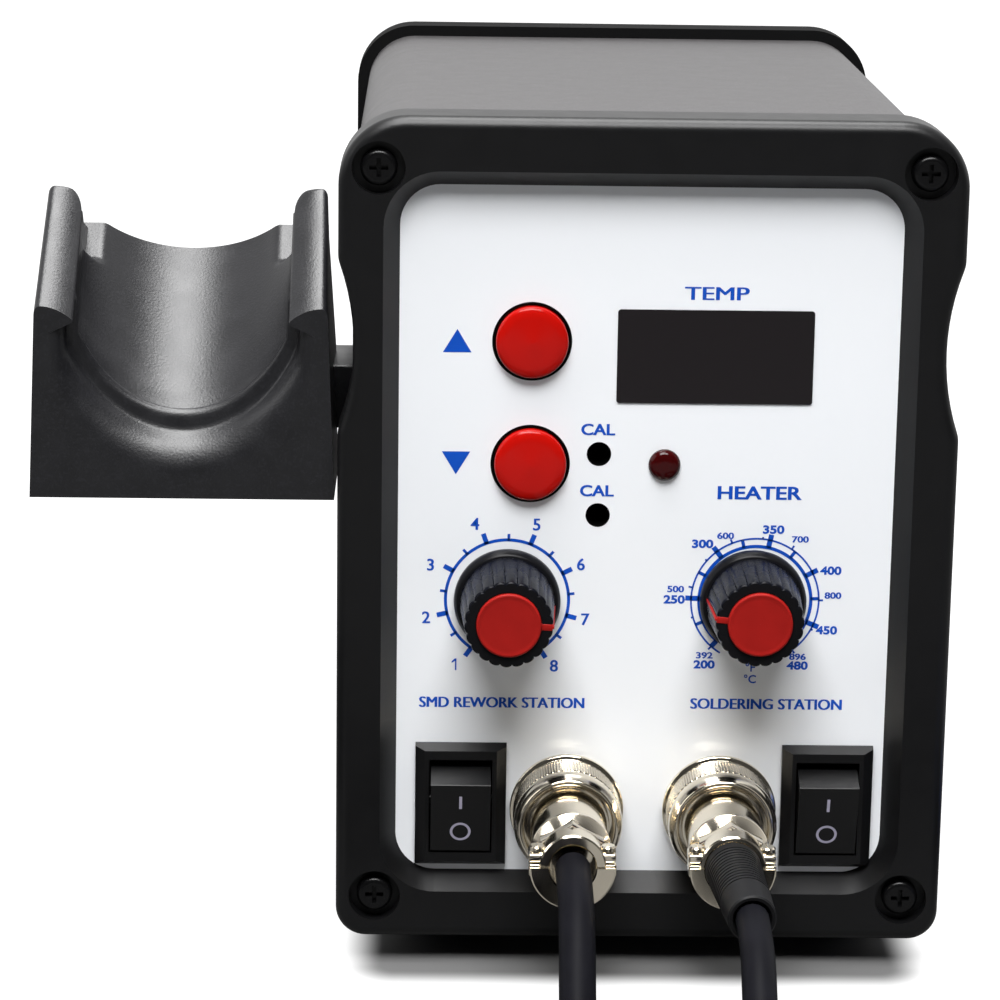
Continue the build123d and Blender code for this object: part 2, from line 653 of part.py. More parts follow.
def rubber_feet():
    made = []
    for x, y in foot_places():
        foot = turned([(0, 1.8), (0, 6.0), (1.0, 6.6), (SLEEVE_BOTTOM, 7.2), (SLEEVE_BOTTOM, 1.8)], x, y, 0, "z")
        made.append(foot - rod_z(x, y, -1, 3.0, 3.2))
    return made


def foot_screws():
    return [rod_z(x, y, 1.2, 3.0, 2.9) + rod_z(x, y, 3.0, SLEEVE_BOTTOM + SLEEVE_WALL, SCREW_CORE_R)
            for x, y in foot_places()]


def along(start, distance, normal=0.0):
    """A point (Y, Z) from start, along the trough's slope and away from its floor."""
    a = radians(HOLDER_SLOPE)
    return (start[0] + distance * cos(a) - normal * sin(a), start[1] + distance * sin(a) + normal * cos(a))


def slope_rod(start, length, radius, rise):
    """A bar along the trough's slope whose lowest line starts at start."""
    x = sum(HOLDER_X) / 2
    y, z = along(start, length / 2, rise)
    return Pos(x, y, z) * Rot(HOLDER_SLOPE - 90, 0, 0) * Cylinder(radius, length)


def slope_box(start, length, half, low, high):
    x = sum(HOLDER_X) / 2
    y, z = along(start, length / 2, (low + high) / 2)
    return Pos(x, y, z) * Rot(HOLDER_SLOPE, 0, 0) * Box(2 * half, length, high - low)


def handpiece_holder():
    """A sloping trough between two drafted ears, cut off upright at the front."""
    floor = along((HOLDER_FRONT, COLLAR_FOOT), 0, COLLAR_R - TROUGH_R)
    climb = tan(radians(HOLDER_SLOPE))
    rise = 1 / cos(radians(HOLDER_SLOPE))
    front_high = (HOLDER_FRONT, floor[1] + (HOLDER_FRONT - floor[0]) * climb + EAR_N * rise)
    ear_end = along(front_high, EAR_L)
    shoulder = along(ear_end, 0, REAR_N - EAR_N)
    rear_high = along(floor, TROUGH_L, REAR_N)
    rear_low = along(floor, TROUGH_L + 0.5, -4.0)
    side = [(HOLDER_FRONT, HOLDER_BOTTOM), front_high, ear_end, shoulder, rear_high, rear_low,
            (rear_low[0], 97.0), (-47.0, HOLDER_BOTTOM)]
    body = side_plate(side, *HOLDER_X) & holder_draft()
    body = fillet(outer_ear_edges(body, front_high[1] - 1.0), EAR_CORNER)
    body -= (slope_rod(along(floor, -30), 110, TROUGH_R, TROUGH_R)
             & slope_box(along(floor, -30), 110, TROUGH_HALF, -1, 30))
    body = fillet(inner_ear_edges(body, front_high[1] - 1.0), EAR_ROUND)
    body -= slope_box(along(floor, TROUGH_L - NOTCH_L), NOTCH_L + 10, NOTCH_HALF, REAR_N, 30)
    seat = slope_rod(along((HOLDER_FRONT, COLLAR_FOOT), -30), 60, COLLAR_R, COLLAR_R)
    seat &= slope_box(along((HOLDER_FRONT, COLLAR_FOOT), -30), 60, COLLAR_HALF, -2, SEAT_N)
    seat &= box(*HOLDER_X, HOLDER_FRONT - 10, HOLDER_FRONT + COLLAR_L, HOLDER_BOTTOM, 130)
    body -= seat
    under = [(HOLDER_FRONT + 3, HOLDER_BOTTOM - 1), (HOLDER_FRONT + 3, COLLAR_FOOT - 3.5),
             along(floor, 6, -4.5), along(floor, TROUGH_L - 4, -4.5), (rear_low[0] - 3, 98.0),
             (-48.5, HOLDER_BOTTOM - 1)]
    body -= side_plate(under, HOLDER_X[0] + 4.5, HOLDER_X[1] - 4.5)
    body += box(HOLDER_X[1] - 2, -SLEEVE_W / 2, *HOLDER_PAD)
    for y, z in HOLDER_SCREWS:
        body -= rod_x(HOLDER_X[1] - 4, -SLEEVE_W / 2 + 1, y, z, SCREW_CORE_R)
    return body


def holder_draft():
    """The holder's outline from the front, a little narrower at the top."""
    (left, right), (top_left, top_right) = HOLDER_X, HOLDER_TOP_X
    sketch = make_face(Polyline((left, HOLDER_BOTTOM), (right, HOLDER_BOTTOM), (top_right, HOLDER_TOP),
                                (top_left, HOLDER_TOP), close=True))
    return plate(sketch, HOLDER_FRONT, HOLDER_FRONT + 60)


def ear_edges(body, above, inner):
    """The ears' long top edges: those of the trough, or those of the outer sides."""
    middle = sum(HOLDER_X) / 2
    return [e for e in body.edges() if abs(e.tangent_at(0.5).Y) > 0.7 and e.center().Z > above
            and e.length > 12 and (abs(e.center().X - middle) < TROUGH_HALF + 1) == inner]


def inner_ear_edges(body, above):
    return ear_edges(body, above, True)


def outer_ear_edges(body, above):
    return ear_edges(body, above, False)


def holder_screws():
    """Screws put in from inside the sleeve into the holder's pad."""
    inner = -SLEEVE_W / 2 + SLEEVE_WALL
    return [rod_x(inner, inner + 2.0, y, z, 2.7) + rod_x(HOLDER_X[1] - 1, inner, y, z, SCREW_CORE_R)
            for y, z in HOLDER_SCREWS]


def gun_profile(grow):
    """The handpiece's outline from its rear, as (distance, radius)."""
    return [(12, 18.6 + grow), (44, 18.6 + grow), (58, 15.6 + grow), (100, 14.8 + grow), (122, 17.6 + grow),
            (132, 17.6 + grow)]


def gun_shells():
    """The moulded handle in two halves, hollow inside, with the collar that the holder takes."""
    y = GUN_REAR
    outer = [(12, 0.0)] + gun_profile(0) + [(132, 0.0)]
    inner = [(11, 0.0)] + [(a + (0 if a < 130 else 1), r) for a, r in gun_profile(-2.2)] + [(133, 0.0)]
    body = turned(outer, GUN_X, y, GUN_AXIS_Z) - turned(inner, GUN_X, y, GUN_AXIS_Z)
    body += turned([(130, 11.05), (130, 15.3), (132, 15.3), (132, 20.0), (136, 20.0), (137, 19.0), (137, 11.05)],
                   GUN_X, y, GUN_AXIS_Z)
    left = body & box(GUN_X - 40, GUN_X, y, y + 150, -10, 60)
    right = body & box(GUN_X, GUN_X + 40, y, y + 150, -10, 60)
    return left, right


def gun_intake_cap():
    """The vented rear cap, with the boot that the cord enters by."""
    cap = turned([(0, 5.4), (0, 17.0), (2.5, 20.0), (12, 20.0), (12, 16.6), (3, 16.6), (3, 5.4)],
                 GUN_X, GUN_REAR, GUN_AXIS_Z)
    for i in range(12):
        slot = box(-1.1, 1.1, GUN_REAR - 1, GUN_REAR + 4, 7.5, 14.5)
        cap -= Pos(GUN_X, 0, GUN_AXIS_Z) * Rot(0, 15 + 30 * i, 0) * slot
    return cap


def gun_cord_boot():
    return turned([(-26, 0.0), (-26, 3.8), (0, 5.4), (3, 5.4), (3, 6.4), (4.5, 6.4), (4.5, 0.0)],
                  GUN_X, GUN_REAR, GUN_AXIS_Z)


def gun_motor():
    """The blower's motor on its three-armed mount."""
    y = GUN_REAR
    motor = rod_y(GUN_X, GUN_AXIS_Z, y + 28, y + 42, 9.0)
    for i in range(3):
        arm = box(-1.2, 1.2, y + 34, y + 40, 8.0, 17.0)
        motor += Pos(GUN_X, 0, GUN_AXIS_Z) * Rot(0, 60 + 120 * i, 0) * arm
    motor &= rod_y(GUN_X, GUN_AXIS_Z, y + 28, y + 42, 16.4)
    return motor - rod_y(GUN_X, GUN_AXIS_Z, y + 27, y + 36, 1.05)


def gun_impeller():
    """The blower wheel: a hub, a back disc and nine blades."""
    y = GUN_REAR
    wheel = rod_y(GUN_X, GUN_AXIS_Z, y + 16, y + 27.4, 4.0) + rod_y(GUN_X, GUN_AXIS_Z, y + 25.6, y + 27.4, 14.5)
    wheel += rod_y(GUN_X, GUN_AXIS_Z, y + 27, y + 35, 1.0)
    for i in range(9):
        blade = Pos(0, 0, 9.4) * Rot(0, 25, 0) * Box(0.9, 10.4, 9.4)
        wheel += Pos(GUN_X, y + 20.6, GUN_AXIS_Z) * Rot(0, 40 * i, 0) * blade
    return wheel


def gun_barrel():
    """The steel heater tube, with a row of cooling slots near the handle."""
    y = GUN_REAR
    tube = rod_y(GUN_X, GUN_AXIS_Z, y + 118, y + 188, 11.0) - rod_y(GUN_X, GUN_AXIS_Z, y + 117, y + 189, 10.2)
    for i in range(8):
        hole = Pos(0, y + 143, 10.6) * Cylinder(1.6, 4)
        tube -= Pos(GUN_X, 0, GUN_AXIS_Z) * Rot(0, 45 * i, 0) * hole
    return tube


def gun_heater():
    """The mica cross with its wound element, and its end insulator."""
    y = GUN_REAR
    core = box(-9.0, 9.0, y + 126, y + 182, -0.5, 0.5) + box(-0.5, 0.5, y + 126, y + 182, -9.0, 9.0)
    wound = rod_y(0, 0, y + 136, y + 176, 7.0) - rod_y(0, 0, y + 135, y + 177, 5.6)
    disc = rod_y(0, 0, y + 122, y + 126, 10.2)
    return Pos(GUN_X, 0, GUN_AXIS_Z) * (core + wound + disc)


def gun_nozzle():
    """The slip-on nozzle with its clamp band."""
    return turned([(178, 11.0), (178, 12.2), (190, 12.2), (199, 5.6), (210, 5.0), (210, 4.2), (198, 4.6),
                   (189, 11.0)], GUN_X, GUN_REAR, GUN_AXIS_Z)


def iron_handle():
    """The iron's plastic handle, with its foam grip's seat and cord end."""
    handle = turned([(0, 3.0), (0, 7.0), (4, 8.6), (52, 9.2), (56, 8.2), (94, 8.2), (98, 11.2), (104, 11.2),
                     (108, 8.6), (116, 8.0), (116, 5.0), (80, 5.0), (80, 3.0)], IRON_X, IRON_REAR, IRON_AXIS_Z)
    return handle


def iron_grip():
    return turned([(56, 8.2), (56, 10.8), (60, 11.4), (90, 11.4), (94, 10.8), (94, 8.2)],
                  IRON_X, IRON_REAR, IRON_AXIS_Z)


def iron_boot():
    return turned([(-22, 0.0), (-22, 3.4), (0, 4.8), (0, 3.0), (8, 3.0), (8, 0.0)], IRON_X, IRON_REAR, IRON_AXIS_Z)


def iron_barrel():
    return turned([(80, 3.6), (80, 4.9), (116, 4.9), (116, 7.4), (122, 7.4), (122, 3.9), (168, 3.9), (168, 3.5),
                   (84, 3.5)], IRON_X, IRON_REAR, IRON_AXIS_Z)


def iron_nut():
    return turned([(122, 3.95), (122, 6.9), (132, 6.9), (134, 5.6), (134, 3.95)], IRON_X, IRON_REAR, IRON_AXIS_Z)


def iron_tip():
    return turned([(124, 0.01), (124, 3.45), (169, 3.45), (172, 3.2), (190, 0.4), (190, 0.01)],
                  IRON_X, IRON_REAR, IRON_AXIS_Z)


def cord_tube(route, diameter, name):
    """A tube on straight runs and tangent arcs, each arc as large as its runs allow."""
    points = [Vector(*p) for p in route]
    radii = []
    for a, b, c in zip(points, points[1:], points[2:]):
        turn = (b - a).get_angle(c - b)
        run = min((b - a).length, (c - b).length)
        radii.append(0.45 * run / tan(radians(turn) / 2))
    path = FilletPolyline(*points, radius=radii)
    start = Plane(origin=path @ 0, z_dir=path % 0)
    tube = sweep(start * Circle(diameter / 2), path=path)
    want = pi * diameter**2 / 4 * path.length
    print(name, "length", round(path.length, 1), "radii", [round(r) for r in radii],
          "volume ratio", round(tube.volume / want, 3))
    return tube


def cord_coil(coil, diameter, name):
    """One closed ring of the coil's outer shape: two turns wide and two high."""
    x, y, r = coil
    section = Pos(r, diameter + 0.1) * RectangleRounded(2 * diameter, 2 * diameter, diameter * 0.48)
    ring = revolve(Plane.XZ * section, Axis.Z)
    print(name, "turns", COIL_TURNS, "length", round(COIL_TURNS * 2 * pi * r, 1))
    return Pos(x, y, 0) * ring


def main():
    os.makedirs("parts", exist_ok=True)
    bezel = front_bezel()
    left_shell, right_shell = gun_shells()
    save("front_bezel", bezel)
    save("rear_bezel", mirror_y(bezel))
    save("body_sleeve", body_sleeve())
    save("front_panel", front_panel())
    save("rear_panel", rear_panel())
    save("bezel_screws", bezel_screws())
    save("rubber_feet", rubber_feet())
    save("chassis_screws", foot_screws(), holder_screws(), transformer_bolts())
    save("up_button", button(BUTTON_Z[0]))
    save("down_button", button(BUTTON_Z[1]))
    save("board_controls", button_switches(), calibration_trimmers())
    save("display_window", display_window())
    save("display_module", display_module())
    save("heater_lamp", heater_lamp())
    save("hot_air_trimmer_rotor", trimmer_rotor(TRIMMER_Z[0]))
    save("iron_trimmer_rotor", trimmer_rotor(TRIMMER_Z[1]))
    save("control_board", control_board())
    save("airflow_knob", knob_body(AIR_DIAL, AIR_POINTER))
    save("airflow_knob_cap", knob_cap(AIR_DIAL, AIR_POINTER))
    save("iron_knob", knob_body(IRON_DIAL, IRON_POINTER))
    save("iron_knob_cap", knob_cap(IRON_DIAL, IRON_POINTER))
    save("airflow_shaft", pot_shaft(AIR_DIAL))
    save("iron_shaft", pot_shaft(IRON_DIAL))
    save("potentiometers", potentiometers())
    save("panel_nuts", pot_nuts(), socket_nuts())
    save("switch_housings", switch_housing(LEFT_SWITCH), switch_housing(RIGHT_SWITCH), switch_terminals())
    save("left_rocker", rocker(LEFT_SWITCH))
    save("right_rocker", rocker(RIGHT_SWITCH))
    save("panel_sockets", socket(AIR_PLUG), socket(IRON_PLUG))
    save("plug_shells", plug_shell(AIR_PLUG), plug_shell(IRON_PLUG))
    save("hot_air_plug_ring", plug_ring(AIR_PLUG))
    save("iron_plug_ring", plug_ring(IRON_PLUG))
    save("plug_clamps", plug_clamp(AIR_PLUG), plug_clamp(IRON_PLUG))
    save("clamp_screws", clamp_screws())
    save("cord_boots", plug_boot(), gun_cord_boot(), iron_boot())
    save("main_board", main_board())
    save("heat_sink", heat_sink())
    save("board_standoffs", board_standoffs(), board_pillars())
    save("transformer_core", transformer_core())
    save("transformer_winding", transformer_winding())
    save("mains_inlet", mains_inlet())
    save("fuse_drawer", fuse_drawer(), fuse())
    save("handpiece_holder", handpiece_holder())
    save("gun_shell_left", left_shell)
    save("gun_shell_right", right_shell)
    save("gun_intake_cap", gun_intake_cap())
    save("gun_motor", gun_motor())
    save("gun_impeller", gun_impeller())
    save("gun_barrel", gun_barrel())
    save("gun_heater", gun_heater())
    save("gun_nozzle", gun_nozzle())
    save("iron_handle", iron_handle())
    save("iron_grip", iron_grip())
    save("iron_barrel", iron_barrel())
    save("iron_nut", iron_nut())
    save("iron_tip", iron_tip())
    save("hot_air_cord", cord_tube(AIR_LEAD, AIR_CORD_D, "hot air lead"),
         cord_tube(AIR_TAIL, AIR_CORD_D, "hot air tail"))
    save("hot_air_cord_coil", cord_coil(AIR_COIL, AIR_CORD_D, "hot air coil"))
    save("iron_cord", cord_tube(IRON_LEAD, IRON_CORD_D, "iron lead"),
         cord_tube(IRON_TAIL, IRON_CORD_D, "iron tail"))
    save("iron_cord_coil", cord_coil(IRON_COIL, IRON_CORD_D, "iron coil"))


main()
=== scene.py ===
"""Looks of the bench rework station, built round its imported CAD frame.

Blender's objects are in metres, with +X to the right, +Y to the back and +Z up. The shapes
here are drawn in millimetres in that same frame, and scaled as each mesh is made.
"""

import json
from math import copysign, cos, hypot, pi, radians, sin, sqrt

import bmesh
import bpy
from mathutils import Matrix, Vector


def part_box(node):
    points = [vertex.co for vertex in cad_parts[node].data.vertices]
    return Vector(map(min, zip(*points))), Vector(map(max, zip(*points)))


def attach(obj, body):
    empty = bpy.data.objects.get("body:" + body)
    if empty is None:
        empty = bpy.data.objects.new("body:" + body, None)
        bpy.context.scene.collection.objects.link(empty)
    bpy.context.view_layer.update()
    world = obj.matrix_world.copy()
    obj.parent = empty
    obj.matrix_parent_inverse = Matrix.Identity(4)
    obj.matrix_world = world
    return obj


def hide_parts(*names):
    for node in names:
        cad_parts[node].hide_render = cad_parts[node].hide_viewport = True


MM = 0.001
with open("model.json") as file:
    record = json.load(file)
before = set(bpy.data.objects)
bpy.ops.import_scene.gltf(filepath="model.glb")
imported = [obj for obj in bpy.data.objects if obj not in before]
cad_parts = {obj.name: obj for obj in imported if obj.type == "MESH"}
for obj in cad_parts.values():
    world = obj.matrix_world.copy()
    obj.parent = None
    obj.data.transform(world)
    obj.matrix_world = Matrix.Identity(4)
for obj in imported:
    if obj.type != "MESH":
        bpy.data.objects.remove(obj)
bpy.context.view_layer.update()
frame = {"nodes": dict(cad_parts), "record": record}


def cad(node):
    """A CAD node's lowest and highest corner in millimetres."""
    low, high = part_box(node)
    return Vector(low) / MM, Vector(high) / MM


def middle(node):
    """The middle of a CAD node's box in millimetres."""
    low, high = cad(node)
    return (low + high) / 2


# The front panel's face, the level its printing lies at, and what stands on it
PANEL = cad("front_panel")[0].y
PRINT = PANEL - 0.03
AIR_KNOB = middle("airflow_shaft")
IRON_KNOB = middle("iron_shaft")
AIR_PLUG = middle("hot_air_plug_ring")
IRON_PLUG = middle("iron_plug_ring")
TRIMMERS = ("hot_air_trimmer_rotor", "iron_trimmer_rotor")

# Cords, as in the CAD: diameters, coils as (x, y, middle radius), and the runs on either side
AIR_CORD_D = 5.6
IRON_CORD_D = 5.2
COIL_TURNS = 4.25
AIR_COIL = (-48.8, -165.0, 34.0)
IRON_COIL = (47.6, -186.0, 31.0)
AIR_LEAD = [
    (-12.0, -102.0, 26.4), (-12.0, -113.0, 26.4), (-12.1, -124.0, 23.0), (-12.3, -133.5, 16.0),
    (-12.3, -142.5, 8.7), (-12.1, -152.5, 4.2),
]
AIR_TAIL = [
    (-61.8, -202.8, 6.9), (-75.5, -206.3, 4.2), (-90.0, -210.6, 3.0), (-103.5, -212.6, 3.2),
    (-116.0, -213.0, 5.2), (-127.0, -208.4, 9.2), (-135.4, -200.0, 14.2), (-140.0, -189.0, 18.6),
    (-140.0, -178.0, 20.0),
]
IRON_LEAD = [
    (14.4, -123.0, 26.0), (14.3, -134.0, 25.4), (13.7, -145.0, 21.6), (13.5, -154.5, 15.0),
    (13.7, -163.5, 8.0), (14.0, -173.5, 3.8),
]
IRON_TAIL = [
    (60.0, -220.0, 6.6), (72.0, -220.1, 4.8), (83.0, -215.4, 4.6), (91.4, -207.0, 6.6),
    (96.0, -196.0, 10.0), (96.0, -185.2, 11.5),
]

# The camera: millimetres, and degrees to the right, down and anticlockwise
CAMERA_PLACE = (-34.936, -621.933, 210.709)
CAMERA_YAW, CAMERA_PITCH, CAMERA_ROLL = 1.1703, 13.5024, 0.8474
CAMERA_LENS = 125.9

# Light: lamps are in metres, and the sky's strength fades between two directions along Y
LAMP_AIM = (0, -0.06, 0.07)
KEY_POWER, TOP_POWER, SIDE_POWER = 32.0, 22.0, 2.5
SKY_FRONT, SKY_BACK = 0.05, 1.0
SKY_FADE = (-0.35, 0.45)

# The floor, in metres; it shows its own dark finish within a half-size of the origin, as a painted
# shadow round the housing, and white past the fade, both in millimetres
FLOOR_REACH = 3
SHADOW_HALF_WIDTH, SHADOW_HALF_DEPTH = 40.0, 76.0
SHADOW_FADE = (2.0, 10.0)
FLOOR_GLOW = 1.0

# The back ends of the handpieces' axes, where their boots start
GUN_X, GUN_Y, GUN_Z = -140.0, -152.0, 20.0
IRON_X, IRON_Y, IRON_Z = 96.0, -163.2, 11.5


# ---------------------------------------------------------------- camera, light and floor

def camera():
    """A long lens a little above the housing, looking down at it."""
    yaw, pitch, roll = radians(CAMERA_YAW), radians(CAMERA_PITCH), radians(CAMERA_ROLL)
    forward = Vector((sin(yaw) * cos(pitch), cos(yaw) * cos(pitch), -sin(pitch)))
    right = Vector((cos(yaw), -sin(yaw), 0))
    up = right.cross(forward)
    x = right * cos(roll) + up * sin(roll)
    y = up * cos(roll) - right * sin(roll)
    cam = bpy.data.objects.new("camera", bpy.data.cameras.new("camera"))
    bpy.context.collection.objects.link(cam)
    cam.data.lens = CAMERA_LENS
    cam.data.sensor_width = 36.0
    cam.data.clip_start = 0.01
    turn = Matrix((x, y, -forward)).transposed().to_4x4()
    cam.matrix_world = Matrix.Translation(Vector(CAMERA_PLACE) * MM) @ turn
    bpy.context.scene.camera = cam


def area_light(name, place, target, size, power):
    """A soft box of size (across, up), aimed from its place at a target."""
    light = bpy.data.lights.new(name, "AREA")
    light.energy = power
    light.shape = "RECTANGLE"
    light.size, light.size_y = size
    obj = bpy.data.objects.new(name, light)
    bpy.context.collection.objects.link(obj)
    aim = (Vector(target) - Vector(place)).to_track_quat("-Z", "Y")
    obj.matrix_world = Matrix.Translation(Vector(place)) @ aim.to_matrix().to_4x4()


def sky():
    """Surroundings that light the object from behind it, and look plain white to the camera."""
    world = bpy.data.worlds.new("studio")
    bpy.context.scene.world = world
    world.use_nodes = True
    nodes, link = world.node_tree.nodes, world.node_tree.links.new
    place = nodes.new("ShaderNodeTexCoord")
    split = nodes.new("ShaderNodeSeparateXYZ")
    link(place.outputs["Generated"], split.inputs["Vector"])
    fade = nodes.new("ShaderNodeMapRange")
    fade.interpolation_type = "SMOOTHSTEP"
    fade.inputs["From Min"].default_value, fade.inputs["From Max"].default_value = SKY_FADE
    fade.inputs["To Min"].default_value = SKY_FRONT
    fade.inputs["To Max"].default_value = SKY_BACK
    link(split.outputs["Y"], fade.inputs["Value"])
    ray = nodes.new("ShaderNodeLightPath")
    seen = nodes.new("ShaderNodeMapRange")
    link(ray.outputs["Is Camera Ray"], seen.inputs["Value"])
    link(fade.outputs["Result"], seen.inputs["To Min"])
    seen.inputs["To Max"].default_value = 1.0
    link(seen.outputs["Result"], nodes["Background"].inputs["Strength"])
    nodes["Background"].inputs["Color"].default_value = (1, 1, 1, 1)


def studio():
    """A pale floor with a painted shadow round the housing, a broad soft box high in front, one
    overhead and a weak one at the left.
    """
    sky()
    bpy.context.scene.view_settings.view_transform = "Standard"
    area_light("key", (-0.05, -0.82, 1.27), LAMP_AIM, (0.95, 0.6), KEY_POWER)
    area_light("top", (-0.05, -0.02, 1.2), (-0.02, -0.04, 0.1), (0.95, 0.5), TOP_POWER)
    area_light("left", (-1.25, -0.35, 0.75), LAMP_AIM, (0.3, 0.8), SIDE_POWER)
    mesh = bpy.data.meshes.new("floor")
    far = FLOOR_REACH
    mesh.from_pydata([(-far, -far, 0), (far, -far, 0), (far, far, 0), (-far, far, 0)], [],
                     [(0, 1, 2, 3)])
    floor = bpy.data.objects.new("floor", mesh)
    bpy.context.collection.objects.link(floor)
    mesh.materials.append(floor_painted_shadow_finish())


def floor_painted_shadow_finish():
    """A dark finish that glows white to the camera only, and fades near the housing as a painted
    shadow.
    """
    made = surface("floor_white_painted_shadow", (0.13, 0.13, 0.13), 0.7, grain=0.0, spread=0.004, shine=0.1)
    nodes, link = made.node_tree.nodes, made.node_tree.links.new
    place = next(n for n in nodes if n.bl_idname == "ShaderNodeTexCoord")
    reach = nodes.new("ShaderNodeVectorMath")
    reach.operation = "ABSOLUTE"
    link(place.outputs["Object"], reach.inputs[0])
    past = nodes.new("ShaderNodeVectorMath")
    past.operation = "SUBTRACT"
    past.inputs[1].default_value = (SHADOW_HALF_WIDTH * MM, SHADOW_HALF_DEPTH * MM, 0)
    link(reach.outputs["Vector"], past.inputs[0])
    outside = nodes.new("ShaderNodeVectorMath")
    outside.operation = "MAXIMUM"
    outside.inputs[1].default_value = (0, 0, 0)
    link(past.outputs["Vector"], outside.inputs[0])
    far = nodes.new("ShaderNodeVectorMath")
    far.operation = "LENGTH"
    link(outside.outputs["Vector"], far.inputs[0])
    # Painted shadow: the white glow fades out towards the housing's footprint, leaving the floor
    # dark there
    fade = nodes.new("ShaderNodeMapRange")
    fade.interpolation_type = "SMOOTHSTEP"
    fade.inputs["From Min"].default_value = SHADOW_FADE[0] * MM
    fade.inputs["From Max"].default_value = SHADOW_FADE[1] * MM
    fade.inputs["To Max"].default_value = FLOOR_GLOW
    link(far.outputs["Value"], fade.inputs["Value"])
    shader = nodes["Principled BSDF"]
    shader.inputs["Emission Color"].default_value = (1, 1, 1, 1)
    ray = nodes.new("ShaderNodeLightPath")
    seen = nodes.new("ShaderNodeMath")
    seen.operation = "MULTIPLY"
    link(fade.outputs["Result"], seen.inputs[0])
    link(ray.outputs["Is Camera Ray"], seen.inputs[1])
    link(seen.outputs["Value"], shader.inputs["Emission Strength"])
    return made


# ---------------------------------------------------------------- materials

MOTTLE_SCALE = 12
MOTTLE_BAND, FLECK_BAND = (0.3, 0.7), (0.52, 0.72)
COAT_ROUGHNESS = 0.06


def surface(name, color, roughness, metallic=0.0, grain=0.1, size=0.25, spread=0.08, coat=0.0,
            rough_spread=0.12, specks=0.0, stretch=(1, 1, 1), deep=0.02, shine=0.5):
    """A procedural finish: mottled colour, uneven gloss and a fine grain in its surface.

    grain is the bump's strength and deep its depth in mm; size is the grain's size in mm;
    specks mixes in small lighter flecks; stretch draws the grain out along an axis; shine is
    the gloss seen straight on. The mottle is MOTTLE_SCALE times the grain's size.
    """
    found = bpy.data.materials.get(name)
    if found:
        return found
    made = bpy.data.materials.new(name)
    made.use_nodes = True
    nodes, link = made.node_tree.nodes, made.node_tree.links.new
    shader = nodes["Principled BSDF"]
    shader.inputs["Metallic"].default_value = metallic
    shader.inputs["Specular IOR Level"].default_value = shine
    shader.inputs["Coat Weight"].default_value = coat
    shader.inputs["Coat Roughness"].default_value = COAT_ROUGHNESS
    place = nodes.new("ShaderNodeTexCoord")
    mapping = nodes.new("ShaderNodeMapping")
    mapping.inputs["Scale"].default_value = stretch
    link(place.outputs["Object"], mapping.inputs["Vector"])

    def noise(scale_mm, detail):
        node = nodes.new("ShaderNodeTexNoise")
        node.inputs["Scale"].default_value = 1 / (scale_mm * MM)
        node.inputs["Detail"].default_value = detail
        link(mapping.outputs["Vector"], node.inputs["Vector"])
        return node

    mottle = noise(size * MOTTLE_SCALE, 3.0)
    ramp = nodes.new("ShaderNodeValToRGB")
    ramp.color_ramp.elements[0].position = MOTTLE_BAND[0]
    ramp.color_ramp.elements[1].position = MOTTLE_BAND[1]
    ramp.color_ramp.elements[0].color = [c * (1 - spread) for c in color] + [1]
    ramp.color_ramp.elements[1].color = [min(1, c * (1 + spread)) for c in color] + [1]
    link(mottle.outputs["Fac"], ramp.inputs["Fac"])
    tint = ramp.outputs["Color"]
    if specks:
        fleck = noise(size, 2.0)
        pick = nodes.new("ShaderNodeMapRange")
        pick.inputs["From Min"].default_value = FLECK_BAND[0]
        pick.inputs["From Max"].default_value = FLECK_BAND[1]
        link(fleck.outputs["Fac"], pick.inputs["Value"])
        mix = nodes.new("ShaderNodeMixRGB")
        mix.inputs["Color2"].default_value = [min(1, c * (1 + specks)) for c in color] + [1]
        link(pick.outputs["Result"], mix.inputs["Fac"])
        link(tint, mix.inputs["Color1"])
        tint = mix.outputs["Color"]
    link(tint, shader.inputs["Base Color"])
    gloss = nodes.new("ShaderNodeMapRange")
    gloss.inputs["To Min"].default_value = max(0.02, roughness * (1 - rough_spread))
    gloss.inputs["To Max"].default_value = min(1, roughness * (1 + rough_spread))
    link(mottle.outputs["Fac"], gloss.inputs["Value"])
    link(gloss.outputs["Result"], shader.inputs["Roughness"])
    if grain:
        bump = nodes.new("ShaderNodeBump")
        bump.inputs["Strength"].default_value = grain
        bump.inputs["Distance"].default_value = deep * MM
        link(noise(size, 4.0).outputs["Fac"], bump.inputs["Height"])
        link(bump.outputs["Normal"], shader.inputs["Normal"])
    return made


